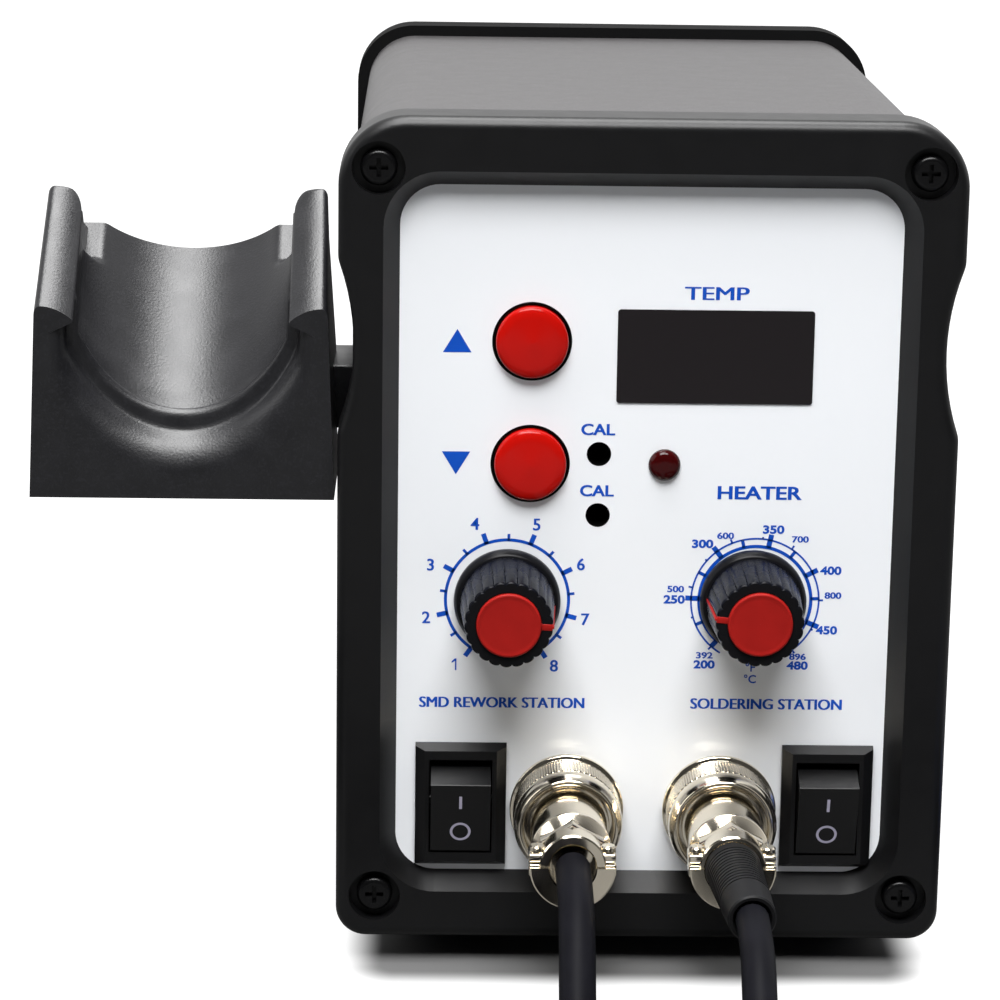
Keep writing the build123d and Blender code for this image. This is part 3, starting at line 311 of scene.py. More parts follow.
def palette():
    """The finish of each of the record's slots."""
    return {
        "black_abs": surface("moulded_black", (0.0032, 0.0032, 0.0036), 0.38, grain=0.35,
                             size=0.35, shine=0.3),
        "grey_paint": surface("grey_powder_coat", (0.037, 0.035, 0.036), 0.42, grain=0.8, size=0.3,
                              specks=0.9, spread=0.10, shine=0.4, deep=0.03),
        "white_print": surface("white_gloss_film", (0.84, 0.86, 0.89), 0.16, grain=0.04, size=6.0,
                               deep=0.15, spread=0.01, coat=0.6),
        "black_steel": surface("black_oxide", (0.003, 0.003, 0.0033), 0.26, grain=0.4, size=0.5,
                               shine=0.22, deep=0.04),
        "black_rubber": surface("boot_rubber", (0.005, 0.005, 0.0055), 0.5, grain=0.4, size=0.3,
                                shine=0.15),
        "zinc_steel": surface("zinc_plate", (0.62, 0.61, 0.58), 0.32, metallic=1.0, grain=0.2,
                              size=0.3),
        "red_gloss": surface("red_button", (0.42, 0.004, 0.002), 0.14, grain=0.03, size=1.0,
                             spread=0.05, shine=0.2),
        "brass": surface("turned_brass", (0.72, 0.52, 0.22), 0.3, metallic=1.0, grain=0.2,
                         size=0.3),
        "smoked_window": surface("smoked_acrylic", (0.006, 0.004, 0.005), 0.10, grain=0.02,
                                 size=4.0, shine=0.35),
        "red_lens": surface("dark_red_lens", (0.035, 0.0012, 0.0015), 0.07, grain=0.02, size=1.0,
                            shine=0.22),
        "green_board": surface("solder_mask", (0.012, 0.12, 0.05), 0.35, grain=0.3, size=0.5,
                               spread=0.2),
        "knob_plastic": surface("knob_blue_black", (0.003, 0.0034, 0.006), 0.27, grain=0.2,
                                size=0.3, spread=0.12, shine=0.09),
        "red_matte": surface("red_cap", (0.30, 0.009, 0.007), 0.45, grain=0.25, size=0.25,
                             spread=0.06, shine=0.12),
        "nickel": surface("warm_nickel", (0.80, 0.73, 0.60), 0.13, metallic=1.0, grain=0.12,
                          size=0.5, spread=0.06),
        "aluminium": surface("cast_aluminium", (0.74, 0.74, 0.75), 0.35, metallic=1.0, grain=0.3,
                             size=0.3),
        "core_steel": surface("core_laminations", (0.11, 0.11, 0.12), 0.4, metallic=0.7, grain=0.4,
                              size=0.4),
        "winding": surface("winding_tape", (0.62, 0.46, 0.08), 0.4, grain=0.3, size=0.5),
        "dark_grey_satin": surface("holder_satin", (0.0065, 0.0065, 0.0078), 0.36, grain=0.9,
                                   size=0.4, specks=0.8, spread=0.15, rough_spread=0.25, deep=0.04),
        "steel_tube": surface("polished_steel", (0.63, 0.62, 0.60), 0.2, metallic=1.0, grain=0.15,
                              size=0.3, stretch=(1, 0.1, 1)),
        "mica": surface("mica_sheet", (0.5, 0.42, 0.3), 0.6, grain=0.4, size=0.5),
        "blue_handle": surface("handle_blue", (0.014, 0.05, 0.22), 0.38, grain=0.3, size=0.3),
        "foam": surface("foam_grip", (0.016, 0.016, 0.017), 0.85, grain=0.9, size=0.6, deep=0.12),
        "tip_plating": surface("plated_tip", (0.45, 0.44, 0.42), 0.25, metallic=1.0, grain=0.2,
                               size=0.3),
        "cord_rubber": surface("cord_jacket", (0.0045, 0.0045, 0.0062), 0.5, grain=0.25, size=0.4,
                               spread=0.15, shine=0.04),
    }


# ---------------------------------------------------------------- mesh building

CORNER_STEPS = 5


class Shape:
    """Vertices in millimetres and faces, gathered into one mesh."""

    def __init__(self):
        self.verts, self.faces = [], []

    def add(self, verts, faces, matrix=None):
        """More vertices, with faces that count from the first of them."""
        first = len(self.verts)
        self.verts += [tuple(matrix @ Vector(v)) if matrix else tuple(v) for v in verts]
        self.faces += [tuple(i + first for i in f) for f in faces]
        return self

    def skin(self, rows, closed=True, caps=(False, False), matrix=None):
        """Rows of points joined into a surface; each row is a ring when closed."""
        n = len(rows[0])
        faces = []
        for i in range(len(rows) - 1):
            for j in range(n if closed else n - 1):
                a, b = i * n + j, i * n + (j + 1) % n
                faces.append((a, b, b + n, a + n))
        if caps[0]:
            faces.append(tuple(reversed(range(n))))
        if caps[1]:
            faces.append(tuple(range((len(rows) - 1) * n, len(rows) * n)))
        return self.add([p for row in rows for p in row], faces, matrix)

    def box(self, low, high, matrix=None, bevel=0.0):
        """A box between two corners, with its edges rounded where a bevel is given."""
        made = bmesh.new()
        bmesh.ops.create_cube(made, size=1.0)
        for v in made.verts:
            v.co = Vector(((low[i] + high[i]) / 2 + v.co[i] * (high[i] - low[i])) for i in range(3))
        if bevel:
            bmesh.ops.bevel(made, geom=list(made.edges), offset=bevel, segments=3, profile=0.5,
                            affect="EDGES")
        made.verts.index_update()
        faces = [[v.index for v in f.verts] for f in made.faces]
        self.add([v.co for v in made.verts], faces, matrix)
        made.free()

    def piece(self, name, slot, body="station", replaces=(), sharp=35, finish=None):
        """The shape as one object on a body; edges that turn more than sharp degrees stay crisp."""
        mesh = bpy.data.meshes.new(name)
        mesh.from_pydata([(x * MM, y * MM, z * MM) for x, y, z in self.verts], [], self.faces)
        made = bmesh.new()
        made.from_mesh(mesh)
        bmesh.ops.remove_doubles(made, verts=made.verts, dist=1e-6)
        bmesh.ops.recalc_face_normals(made, faces=made.faces)
        made.to_mesh(mesh)
        made.free()
        mesh.shade_smooth()
        mesh.set_sharp_from_angle(angle=radians(sharp))
        mesh.materials.append(finish or FINISH[slot])
        obj = bpy.data.objects.new(name, mesh)
        bpy.context.collection.objects.link(obj)
        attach(obj, body)
        if replaces:
            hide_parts(*replaces)
        return obj


def eased(points):
    """A profile with rounded corners; its points are (along, radius) or (along, radius, fillet)."""
    out = []
    last = len(points) - 1
    for i, p in enumerate(points):
        if len(p) < 3 or i in (0, last):
            out.append((p[0], p[1]))
            continue
        here, before, after = Vector(p[:2]), Vector(points[i - 1][:2]), Vector(points[i + 1][:2])
        a, b = (before - here), (after - here)
        cut = min(p[2], a.length * 0.49, b.length * 0.49)
        start, end = here + a.normalized() * cut, here + b.normalized() * cut
        for k in range(CORNER_STEPS + 1):
            t = k / CORNER_STEPS
            out.append(tuple(start * (1 - t) ** 2 + here * 2 * t * (1 - t) + end * t * t))
    return out


def rings(profile, n, wave=None):
    """Circles about the Y axis, one for each (along, radius), to which a wave adds its height."""
    rows = []
    for along, radius in profile:
        row = []
        for k in range(n):
            angle = 2 * pi * k / n
            r = radius + (wave(angle, along) if wave else 0)
            row.append((r * cos(angle), along, r * sin(angle)))
        rows.append(row)
    return rows


def at(x, y, z):
    """A move by (x, y, z)."""
    return Matrix.Translation((x, y, z))


def turned(profile, centre, n):
    """A shape turned about the line along Y through a point."""
    return Shape().skin(rings(eased(profile), n), matrix=at(centre.x, 0, centre.z))


# ---------------------------------------------------------------- printing on the panel

# How far a second setting of the same letters lies in front of the first
LAYER = 0.01

# The scales: angles in degrees as in arc_line, radii in mm, and each number's place off its oval
FIRST_STEP, STEP = 235.0, 291.6 / 7
STEP_RING, NUMBERS_ACROSS, NUMBERS_UP = 10.05, 13.55, 13.5
NUMBER_ASIDE = (-0.6, 0.0, -0.6, -0.75, -0.35, -0.15, -0.25, 0.4)
NUMBER_ABOVE = (0, 0, -0.65, 0, 0.1, 0, 0.25, 0.1)
CELSIUS_FROM, CELSIUS_TO = 200, 480
CELSIUS_START, CELSIUS_STEP = 228.4, 1.0036
CELSIUS_RING, FAHRENHEIT_RING = 9.15, 10.45

# The rockers: their pivot's height, how far they lean in degrees, and the face in front of it
ROCKER_PIVOT_Z, ROCKER_LEAN, ROCKER_FACE = 26.8, 14.5, -6.03


def lettering(shape, text, height, x, z, width=None, bold=0.0, twice=0.0):
    """Flat letters centred on (x, z), set twice, a little apart, where that makes them heavier."""
    curve = bpy.data.curves.new("letters", "FONT")
    curve.body = text
    curve.align_x, curve.align_y = "CENTER", "CENTER"
    curve.offset = bold
    curve.resolution_u = 4
    obj = bpy.data.objects.new("letters", curve)
    bpy.context.collection.objects.link(obj)
    mesh = bpy.data.meshes.new_from_object(obj.evaluated_get(bpy.context.evaluated_depsgraph_get()))
    xs = [v.co.x for v in mesh.vertices]
    ys = [v.co.y for v in mesh.vertices]
    up = height / (max(ys) - min(ys))
    across = width / (max(xs) - min(xs)) if width else up
    mid_x, mid_y = (max(xs) + min(xs)) / 2, (max(ys) + min(ys)) / 2
    for k, shift in enumerate((-twice / 2, twice / 2) if twice else (0.0,)):
        points = [(x + (v.co.x - mid_x) * across + shift, PRINT - LAYER * k,
                   z + (v.co.y - mid_y) * up) for v in mesh.vertices]
        shape.add(points, [tuple(p.vertices) for p in mesh.polygons])
    bpy.data.objects.remove(obj)
    bpy.data.curves.remove(curve)
    bpy.data.meshes.remove(mesh)


def arc_line(shape, centre, radius, width, start, end):
    """A printed arc; angles are degrees, anticlockwise from +X as seen from the front."""
    steps = max(8, int(abs(end - start) / 2.5))
    rows = []
    for r in (radius - width / 2, radius + width / 2):
        row = []
        for k in range(steps + 1):
            a = radians(start + (end - start) * k / steps)
            row.append((centre[0] + r * cos(a), PRINT, centre[1] + r * sin(a)))
        rows.append(row)
    shape.skin(rows, closed=False)


def tick(shape, centre, angle, inner, outer, width):
    """A printed mark between two radii."""
    a = radians(angle)
    along, side = Vector((cos(a), 0, sin(a))), Vector((-sin(a), 0, cos(a))) * width / 2
    mid = Vector((centre[0], PRINT, centre[1]))
    shape.add([mid + along * inner - side, mid + along * outer - side, mid + along * outer + side,
               mid + along * inner + side], [(0, 1, 2, 3)])


def airflow_scale(shape, centre):
    """Eight numbered steps round the left knob, with a short tick between each two.

    The 1 is drawn as a stroke with a flag, and the other numbers are set as letters.
    """
    last = len(NUMBER_ASIDE) - 1
    arc_line(shape, centre, STEP_RING, 0.5, FIRST_STEP, FIRST_STEP - last * STEP)
    for i, (aside, above) in enumerate(zip(NUMBER_ASIDE, NUMBER_ABOVE)):
        angle = FIRST_STEP - STEP * i
        tick(shape, centre, angle, 9.9, 11.75, 0.8)
        a = radians(angle)
        x, z = centre[0] + NUMBERS_ACROSS * cos(a) + aside, centre[1] + NUMBERS_UP * sin(a) + above
        if i:
            lettering(shape, str(i + 1), 2.0, x, z, bold=0.01, twice=0.08)
        else:
            one = [(0.25, -1.0), (0.25, 1.0), (-0.02, 1.0), (-0.55, 0.52), (-0.55, 0.22),
                   (0.0, 0.55), (0.0, -1.0)]
            shape.add([(x + u, PRINT, z + v) for u, v in one],
                      [(6, 0, 1, 5), (5, 1, 2), (5, 2, 3, 4)])
        if i < last:
            tick(shape, centre, angle - STEP / 2, 9.9, 11.05, 0.46)


def iron_scale(shape, centre):
    """Celsius in bold on the thick ring, Fahrenheit small on the thin one."""
    def turn(celsius):
        return CELSIUS_START - (celsius - CELSIUS_FROM) * CELSIUS_STEP

    ends = (CELSIUS_FROM, CELSIUS_TO)
    arc_line(shape, centre, CELSIUS_RING, 0.55, turn(CELSIUS_FROM) + 2, turn(CELSIUS_TO) - 4)
    arc_line(shape, centre, FAHRENHEIT_RING, 0.3, turn(CELSIUS_FROM) + 10, turn(CELSIUS_TO) - 6)
    for celsius in (200, 250, 300, 350, 400, 450, 480):
        tick(shape, centre, turn(celsius), 9.1, 10.5 if celsius in ends else 11.4, 0.85)
    for celsius in range(225, CELSIUS_TO, 50):
        tick(shape, centre, turn(celsius), 9.1, 10.5, 0.55)
    for fahrenheit in (392, 450, 500, 550, 600, 650, 700, 750, 800, 850, 896):
        labelled = fahrenheit % 100 == 0 or fahrenheit in (392, 896)
        tick(shape, centre, turn((fahrenheit - 32) / 1.8), 10.4, 11.15 if labelled else 10.8, 0.32)
    for text, x, z in (("200", -8.0, -10.9), ("250", -13.2, 0.1), ("300", -8.8, 9.5),
                       ("350", 2.7, 12.0), ("400", 12.25, 5.2), ("450", 11.9, -4.9),
                       ("480", 7.3, -10.95)):
        lettering(shape, text, 1.46, centre[0] + x, centre[1] + z, width=3.5, bold=0.04)
    for text, x, z in (("392", -8.0, -9.35), ("500", -13.0, 1.85), ("600", -5.1, 10.9),
                       ("700", 7.1, 10.4), ("800", 12.75, 1.0), ("896", 7.3, -9.45)):
        lettering(shape, text, 1.1, centre[0] + x, centre[1] + z, width=2.7, bold=0.02, twice=0.06)
    lettering(shape, "°F", 1.5, centre[0] - 0.4, centre[1] - 11.3, bold=0.02)
    lettering(shape, "°C", 1.5, centre[0] - 0.4, centre[1] - 13.3, bold=0.02)


def arrow(shape, x, z, way):
    """A printed triangle that points up (way 1) or down (way -1)."""
    foot, point = z - 1.9 * way, z + 1.9 * way
    shape.add([(x - 2.3, PRINT, foot), (x + 2.3, PRINT, foot), (x, PRINT, point)], [(0, 1, 2)])


def panel_print():
    """All the blue printing, as one thin layer on the panel."""
    shape = Shape()
    up, down = middle("up_button"), middle("down_button")
    arrow(shape, up.x - 12.0, up.z, 1)
    arrow(shape, up.x - 12.0, down.z, -1)
    for rotor in TRIMMERS:
        hole = middle(rotor)
        lettering(shape, "CAL", 1.9, hole.x - 0.2, hole.z + 4.05, width=5.4, bold=0.016, twice=0.1)
    window, red = middle("display_window"), middle("heater_lamp")
    lettering(shape, "TEMP", 2.1, window.x, window.z + 10.35, width=10.2, twice=0.2)
    lettering(shape, "HEATER", 2.2, red.x + 15.6, red.z - 4.5, width=13.6, bold=0.016, twice=0.12)
    airflow_scale(shape, (AIR_KNOB.x, AIR_KNOB.z))
    iron_scale(shape, (IRON_KNOB.x, IRON_KNOB.z))
    lettering(shape, "SMD REWORK STATION", 1.8, AIR_KNOB.x - 0.6, AIR_KNOB.z - 17.5, width=27.0,
              twice=0.2)
    lettering(shape, "SOLDERING STATION", 1.8, IRON_KNOB.x + 2.4, IRON_KNOB.z - 17.6, width=24.8,
              twice=0.2)
    ink = surface("blue_ink", (0.004, 0.070, 0.46), 0.35, grain=0.05, size=0.4, spread=0.06,
                  shine=0.2)
    shape.piece("panel_print", "white_print", finish=ink)


def rocker_marks():
    """The I and O on each rocker, lying on its tilted face."""
    ink = surface("pale_lilac_ink", (0.42, 0.40, 0.52), 0.45, grain=0.1, size=0.3)
    for side in ("left", "right"):
        centre = middle(f"{side}_rocker")
        pivot = at(centre.x, PANEL + 2.1, ROCKER_PIVOT_Z)
        tilt = pivot @ Matrix.Rotation(radians(ROCKER_LEAN), 4, "X")
        y = ROCKER_FACE
        marks = Shape()
        marks.add([(-0.24, y, 1.9), (0.24, y, 1.9), (0.24, y, 4.3), (-0.24, y, 4.3)],
                  [(0, 1, 2, 3)], tilt)
        steps = 40
        rows = [[(r * cos(2 * pi * k / steps), y, -2.5 + r * sin(2 * pi * k / steps))
                 for k in range(steps)] for r in (1.3, 1.72)]
        marks.skin(rows, matrix=tilt)
        marks.piece(f"{side}_rocker_marks", "black_abs", f"{side}_rocker", finish=ink)


# ---------------------------------------------------------------- controls

RIBS, RIB_DEPTH, RIB_POINTS = 22, 0.42, 264
SKIRT_R, SKIRT_DEEP = 8.7, 2.0
KNOB_FACE_R, KNOB_CAP_R = 6.85, 5.2


def knob(name, body, centre, pointer, length, aside=0.0):
    """A black skirt, a tapered body of rounded ribs, and a red cap with its pointer."""
    back = PANEL - 0.6
    front = back - length
    waist = back - SKIRT_DEEP
    spin = at(centre.x + aside, 0, centre.z) @ Matrix.Rotation(radians(-pointer), 4, "Y")

    def wave(angle, along):
        lobe = abs(sin(RIBS * angle / 2))
        fade = min(1.0, max(0.0, (back - 2.2 - along) / 0.6))
        return fade * RIB_DEPTH * (sqrt(lobe) - 1)

    skirt = eased([(back, 3.0), (back, SKIRT_R, 0.15), (back - 1.2, SKIRT_R, 0.5),
                   (back - 2.1, 8.15, 0.3), (back - 2.25, 7.5)])
    Shape().skin(rings(skirt, 96), matrix=spin).piece(
        f"{name}_skirt", "knob_plastic", body,
        finish=surface("knob_black", (0.004, 0.004, 0.005), 0.3, grain=0.15, size=0.3, shine=0.12))
    sides = [(waist, 7.75), (back - 2.3, 7.72), (back - 8, 7.42), (front + 0.5, 7.12),
             (front + 0.12, 7.02), (front, KNOB_FACE_R)]
    Shape().skin(rings(sides, RIB_POINTS, wave), matrix=spin).piece(
        f"{name}_ribs", "knob_plastic", body, replaces=(name,), sharp=60)
    face = rings([(front, KNOB_FACE_R)], RIB_POINTS, wave)
    face += rings([(front - 0.02, 6.2), (front - 0.02, 5.3), (front + 0.6, 5.25)], RIB_POINTS)
    Shape().skin(face, matrix=spin).piece(
        f"{name}_face", "knob_plastic", body,
        finish=surface("knob_face_black", (0.004, 0.004, 0.005), 0.5, shine=0.1))
    disc = eased([(front + 0.4, KNOB_CAP_R), (front - 0.55, KNOB_CAP_R, 0.12),
                  (front - 0.72, 4.95, 0.2), (front - 0.62, 4.4, 0.4), (front - 0.60, 0.01)])
    cap = Shape().skin(rings(disc, 120), matrix=spin)
    cap.box((4.9, front - 0.12, -0.52), (7.0, front + 0.6, 0.52), spin, bevel=0.1)
    strip = hypot(waist - front, 0.7)
    lean = spin @ at(7.42, (front + waist) / 2, 0) @ Matrix.Rotation(radians(-2.6), 4, "Z")
    cap.box((-0.3, -strip / 2 - 0.1, -0.2), (0.12, strip / 2, 0.2), lean, bevel=0.06)
    cap.piece(f"{name}_red_cap", "red_matte", body, replaces=(f"{name}_cap",))


def button(node):
    """A glossy domed cap in its hole, whose edge is lined with a ring of painted shade."""
    low, high = cad(node)
    centre = middle(node)
    front = low.y
    dome = turned([(high.y, 2.0), (front + 3.6, 2.0), (front + 3.6, 5.8, 0.1),
                   (front + 1.4, 5.85, 0.1), (front + 0.35, 5.8, 0.6), (front - 0.05, 4.6, 1.4),
                   (front - 0.35, 0.01)], centre, 96)
    dome.piece(f"{node}_dome", "red_gloss", node, replaces=(node,))
    # Painted shade: a near-black ring lines the gap round the cap
    edge = turned([(PANEL - 0.04, 6.42), (PANEL - 0.04, 6.1), (PANEL + 1.4, 6.05)], centre, 96)
    edge.piece(f"{node}_painted_shade_ring", "black_abs", finish=PAINTED_SHADE_BLACK)


def trimmer_holes():
    """Black sleeves in the two calibration holes, as painted shade for the dark inside them."""
    for rotor in TRIMMERS:
        # Painted shade: a near-black lining for the hole
        painted_shade_sleeve = turned([(PRINT, 1.98), (PRINT, 1.9), (PANEL + 4.5, 1.88)], middle(rotor), 48)
        painted_shade_sleeve.piece(f"{rotor}_sleeve", "black_abs", finish=PAINTED_SHADE_BLACK)


def lamp():
    """The lamp's red lens, with its collar behind the panel."""
    low, high = cad("heater_lamp")
    lens = turned([(high.y, 0.8), (PANEL + 3.5, 0.8), (PANEL + 3.5, 3.0), (PANEL + 2.5, 3.0),
                   (PANEL + 2.5, 2.56), (PANEL - 0.4, 2.56, 0.1), (low.y + 0.25, 2.1, 0.9),
                   (low.y, 1.0, 0.5), (low.y, 0.01)], middle("heater_lamp"), 64)
    lens.piece("heater_lamp_lens", "red_lens", replaces=("heater_lamp",))


# ---------------------------------------------------------------- connectors

# The rings' knurls, their band, the clamps, and the boots' grooves
KNURLS, KNURL_PITCH, KNURL_DEPTH, KNURL_POINTS = 58, 0.62, 0.17, 464
BAND_R, BAND_ROWS, BAND_STEP = 8.85, 49, 0.1033
CLAMP_SPREAD, CLAMP_TO = 5.6, 31.0
RIB_GROOVE = 0.55


def knurl(angle, along):
    """A diamond knurl's height at one point of a ring."""
    u, v = angle / (2 * pi) * KNURLS, along / KNURL_PITCH
    a, b = abs((u + v) % 1 - 0.5), abs((u - v) % 1 - 0.5)
    return KNURL_DEPTH * (2 * (a + b) - 1.4)


def plug_ring(name, centre):
    """The coupling ring: back flange, knurled band, and a rounded, dished front."""
    y = PANEL - 1.15
    shell = turned([(y, 7.5), (y, 9.4, 0.2), (y - 0.85, 9.4, 0.25), (y - 1.1, 8.7, 0.1),
                    (y - 1.9, 8.7)], centre, 96)
    band = [(y - 1.9 - BAND_STEP * k, BAND_R) for k in range(BAND_ROWS)]
    front = band[-1][0] - 0.05
    wall = rings([(y - 1.9, 8.7)], KNURL_POINTS) + rings(band, KNURL_POINTS, knurl)
    place = at(centre.x, 0, centre.z)
    shell.skin(wall + rings([(front, 8.7)], KNURL_POINTS), matrix=place)
    end = y - 10.45
    dish = eased([(front, 8.7), (front - 0.4, 8.55, 0.1), (front - 0.65, BAND_R, 0.15),
                  (end + 1.5, BAND_R, 1.3), (end, 8.0, 0.5), (end + 0.1, 7.35, 0.15),
                  (end + 0.45, 7.2, 0.2), (end + 5.5, 7.1, 0.1), (end + 5.5, 6.0)])
    shell.skin(rings(dish, 96), matrix=place)
    shell.piece(f"{name}_shell", "nickel", name, replaces=(name,), sharp=50)


def sector(shape, place, radii, span, ends):
    """A part of a ring about Y: radii and ends are (inner, outer) and (back, front)."""
    steps, bevel = 40, 0.25
    (r0, r1), (back, front) = radii, ends
    outline = [(r0, back), (r1, back), (r1, front + bevel), (r1 - bevel, front),
               (r0 + bevel, front), (r0, front + bevel)]
    rows = []
    for k in range(steps + 1):
        a = radians(span[0] + (span[1] - span[0]) * k / steps)
        rows.append([(r * cos(a), y, r * sin(a)) for r, y in outline])
    shape.skin(rows, caps=(True, True), matrix=place)


def plug_body(name, centre, bore):
    """The barrel, its coned end with a hexagon, and the two clamp halves with their screws."""
    x, y, z = centre.x, PANEL, centre.z
    place = at(x, 0, z)
    body = turned([(y - 1.2, 0.01), (y - 1.2, 6.1), (y - 9.3, 6.1), (y - 9.3, 6.7, 0.1),
                   (y - 10.3, 6.7, 0.1), (y - 10.3, 6.2, 0.1), (y - 21.6, 6.2, 0.1),
                   (y - 21.7, 6.0, 0.1), (y - 22.0, 6.0, 0.1), (y - 22.1, 6.5, 0.15),
                   (y - 22.9, 6.5, 0.25), (y - 24.7, 4.9, 0.2), (y - 24.8, 3.0)], centre, 96)
    end = y - CLAMP_TO
    rows = [[(r * cos(pi / 2 + pi / 3 * k), along, r * sin(pi / 2 + pi / 3 * k)) for k in range(6)]
            for along, r in ((y - 23.6, 5.8), (y - 26.3, 5.8), (y - 26.7, 5.45))]
    body.skin(rows, caps=(True, True), matrix=place)
    sector(body, place, (bore, 6.8), (180, 360), (end + 5.2, end))
    sector(body, place, (bore, 5.3), (0, 180), (end + 4.6, end + 0.5))
    for side in (-1, 1):
        mid = x + side * CLAMP_SPREAD
        body.box((mid - 1.3, end + 0.9, z - 1.6), (mid + 1.3, end + 5.0, z + 0.35), bevel=0.25)
        body.box((mid - 1.4, end + 0.7, z + 0.75), (mid + 1.2, end + 4.8, z + 2.1), bevel=0.3)
        head = ((1.6, 1.25), (2.75, 1.25), (3.0, 1.0), (3.0, 0.01))
        body.skin([[(mid + r * cos(2 * pi * k / 24), end + 2.8 + r * sin(2 * pi * k / 24), z + up)
                    for k in range(24)] for up, r in head])
        body.box((mid - 0.2, end + 1.7, z + 2.85), (mid + 0.2, end + 3.9, z + 3.12), bevel=0.05)
    return body.piece(name, "nickel", sharp=38)


def connectors():
    """Both plugs; the second is bored wider, for its boot."""
    plug_ring("hot_air_plug_ring", AIR_PLUG)
    plug_ring("iron_plug_ring", IRON_PLUG)
    air = plug_body("hot_air_plug_body", AIR_PLUG, 3.6)
    plug_body("iron_plug_body", IRON_PLUG, 4.3)
    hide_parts("plug_shells", "plug_clamps", "clamp_screws")


def boot_shape(start, end, r0, r1, mouth, ribs, rib_from=0.2, rib_to=0.85):
    """A tapered boot with rings moulded round a part of its length, and an open mouth."""
    axis = Vector(end) - Vector(start)
    length = axis.length
    turn = axis.to_track_quat("Y", "Z").to_matrix().to_4x4()
    profile = [(0.0, r0), (length * rib_from * 0.8, r0 + (r1 - r0) * rib_from * 0.8)]
    pitch = length * (rib_to - rib_from) / ribs
    for i in range(ribs):
        a = length * rib_from + pitch * i
        r = r0 + (r1 - r0) * a / length
        profile += [(a, r), (a + 0.06, r - RIB_GROOVE), (a + pitch * 0.36, r - RIB_GROOVE),
                    (a + pitch * 0.42, r), (a + pitch * 0.97, r)]
    profile += [(length * rib_to + 0.2, r0 + (r1 - r0) * rib_to), (length - 0.3, r1),
                (length, r1 - 0.25), (length, mouth + 0.2), (length - 0.3, mouth),
                (length - 5.0, mouth)]
    return Shape().skin(rings(profile, 64), matrix=at(*start) @ turn)


def boots():
    """Strain reliefs of the iron's plug and of both handpieces."""
    plug = boot_shape((IRON_PLUG.x, PANEL - 30.6, IRON_PLUG.z), IRON_LEAD[0], 4.45, 3.75, 2.85, 13,
                      0.08, 0.70)
    gun_end = boot_shape((GUN_X, GUN_Y + 1, GUN_Z), (GUN_X, GUN_Y - 26, GUN_Z), 5.4, 3.9, 2.9, 9)
    iron_end = boot_shape((IRON_X, IRON_Y + 1, IRON_Z), (IRON_X, IRON_Y - 22, IRON_Z), 4.8, 3.5,
                          2.68, 8)
    made = [plug.piece("iron_plug_boot", "black_rubber"), gun_end.piece("gun_boot", "black_rubber"),
            iron_end.piece("iron_handle_boot", "black_rubber")]
    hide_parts("cord_boots")
    return made


# ---------------------------------------------------------------- handpiece holder

# The holder, in mm: n is measured square to its slope and s up it, from a line AHEAD of its front
SLOPE = radians(40)
AHEAD = 2.6 * sin(SLOPE)
TROUGH_R, TROUGH_HALF = 19.7, 17.3
EAR_N, LEDGE_N = 16.9, 6.2
LEDGE_FROM, EAR_TO, TROUGH_TO = 34.6, 42.3, 43.5
SEAT_DEEP, LIP_R, EAR_R, EDGE_R = 1.6, 2.9, 3.8, 1
HALF_W, SEAT_FLOOR, DRAFT = 24.7, 85.6, 0.036
CROWN_FROM, CROWN_H, CROWN_EASE = 17.5, 1.6, 0.47
EAR_ROWS, EAR_FROM = 24, 33.0
FULL_DROP = 30.0
BACK_TOP, BLOCK_TOP, HOOK_FOOT = 110.0, 97.0, 85.2


def smooth(value, low, high):
    """0 below low, 1 above high, and an S-shaped step between them."""
    t = min(1.0, max(0.0, (value - low) / (high - low)))
    return t * t * (3 - 2 * t)


def holder_section():
    """Half of the holder's cross-section from its middle out: (kind, distance across, height)."""
    points = [("arc", TROUGH_R * sin(radians(a)), TROUGH_R * (1 - cos(radians(a))))
              for a in range(0, 58, 3)]
    points += [("arc", 16.95, 9.75), ("arc", 17.18, 10.4), ("arc", 17.27, 11.2)]
    points += [("wall", TROUGH_HALF, n) for n in (12.2, 13.2, 13.9, 14.3, 14.6, 14.9)]
    points += [("wall", 17.36, 15.08), ("wall", 17.5, 15.24)]
    points += [("crown", f, 0)
               for f in (0.02, 0.05, 0.1, 0.17, 0.25, 0.35, CROWN_EASE, 0.6, 0.75, 0.9, 1.0)]
    return points + [("edge", a, 0) for a in (22.5, 45, 67.5, 90)]


def holder_push(depth):
    """How far the seat is cut into the trough's wall, at a depth behind the front."""
    step = [(0, SEAT_DEEP), (3.1, SEAT_DEEP), (3.45, 1.57), (3.7, 1.4), (3.85, 1.0), (3.95, 0.5),
            (4.05, 0.1), (4.25, -0.22), (4.65, -0.34), (5.05, -0.2), (5.3, 0.14), (5.7, 0.14),
            (6.0, 0.0), (99, 0.0)]
    for (d0, p0), (d1, p1) in zip(step, step[1:]):
        if depth <= d1:
            push = p0 + (p1 - p0) * (depth - d0) / (d1 - d0)
            break
    if depth < LIP_R:
        push += LIP_R - sqrt(LIP_R ** 2 - (LIP_R - depth) ** 2)
    return push


def ear_end(point):
    """How far up the slope an ear reaches at a point of the section; its inner corner is round."""
    kind, u, _ = point
    if kind == "edge":
        return EAR_TO - EDGE_R + cos(radians(u))
    inner = {"arc": 0.0, "wall": 1.0}.get(kind, max(0.0, 1 - u / CROWN_EASE))
    return EAR_TO - EAR_R * (1 - sqrt(1 - inner ** 2))


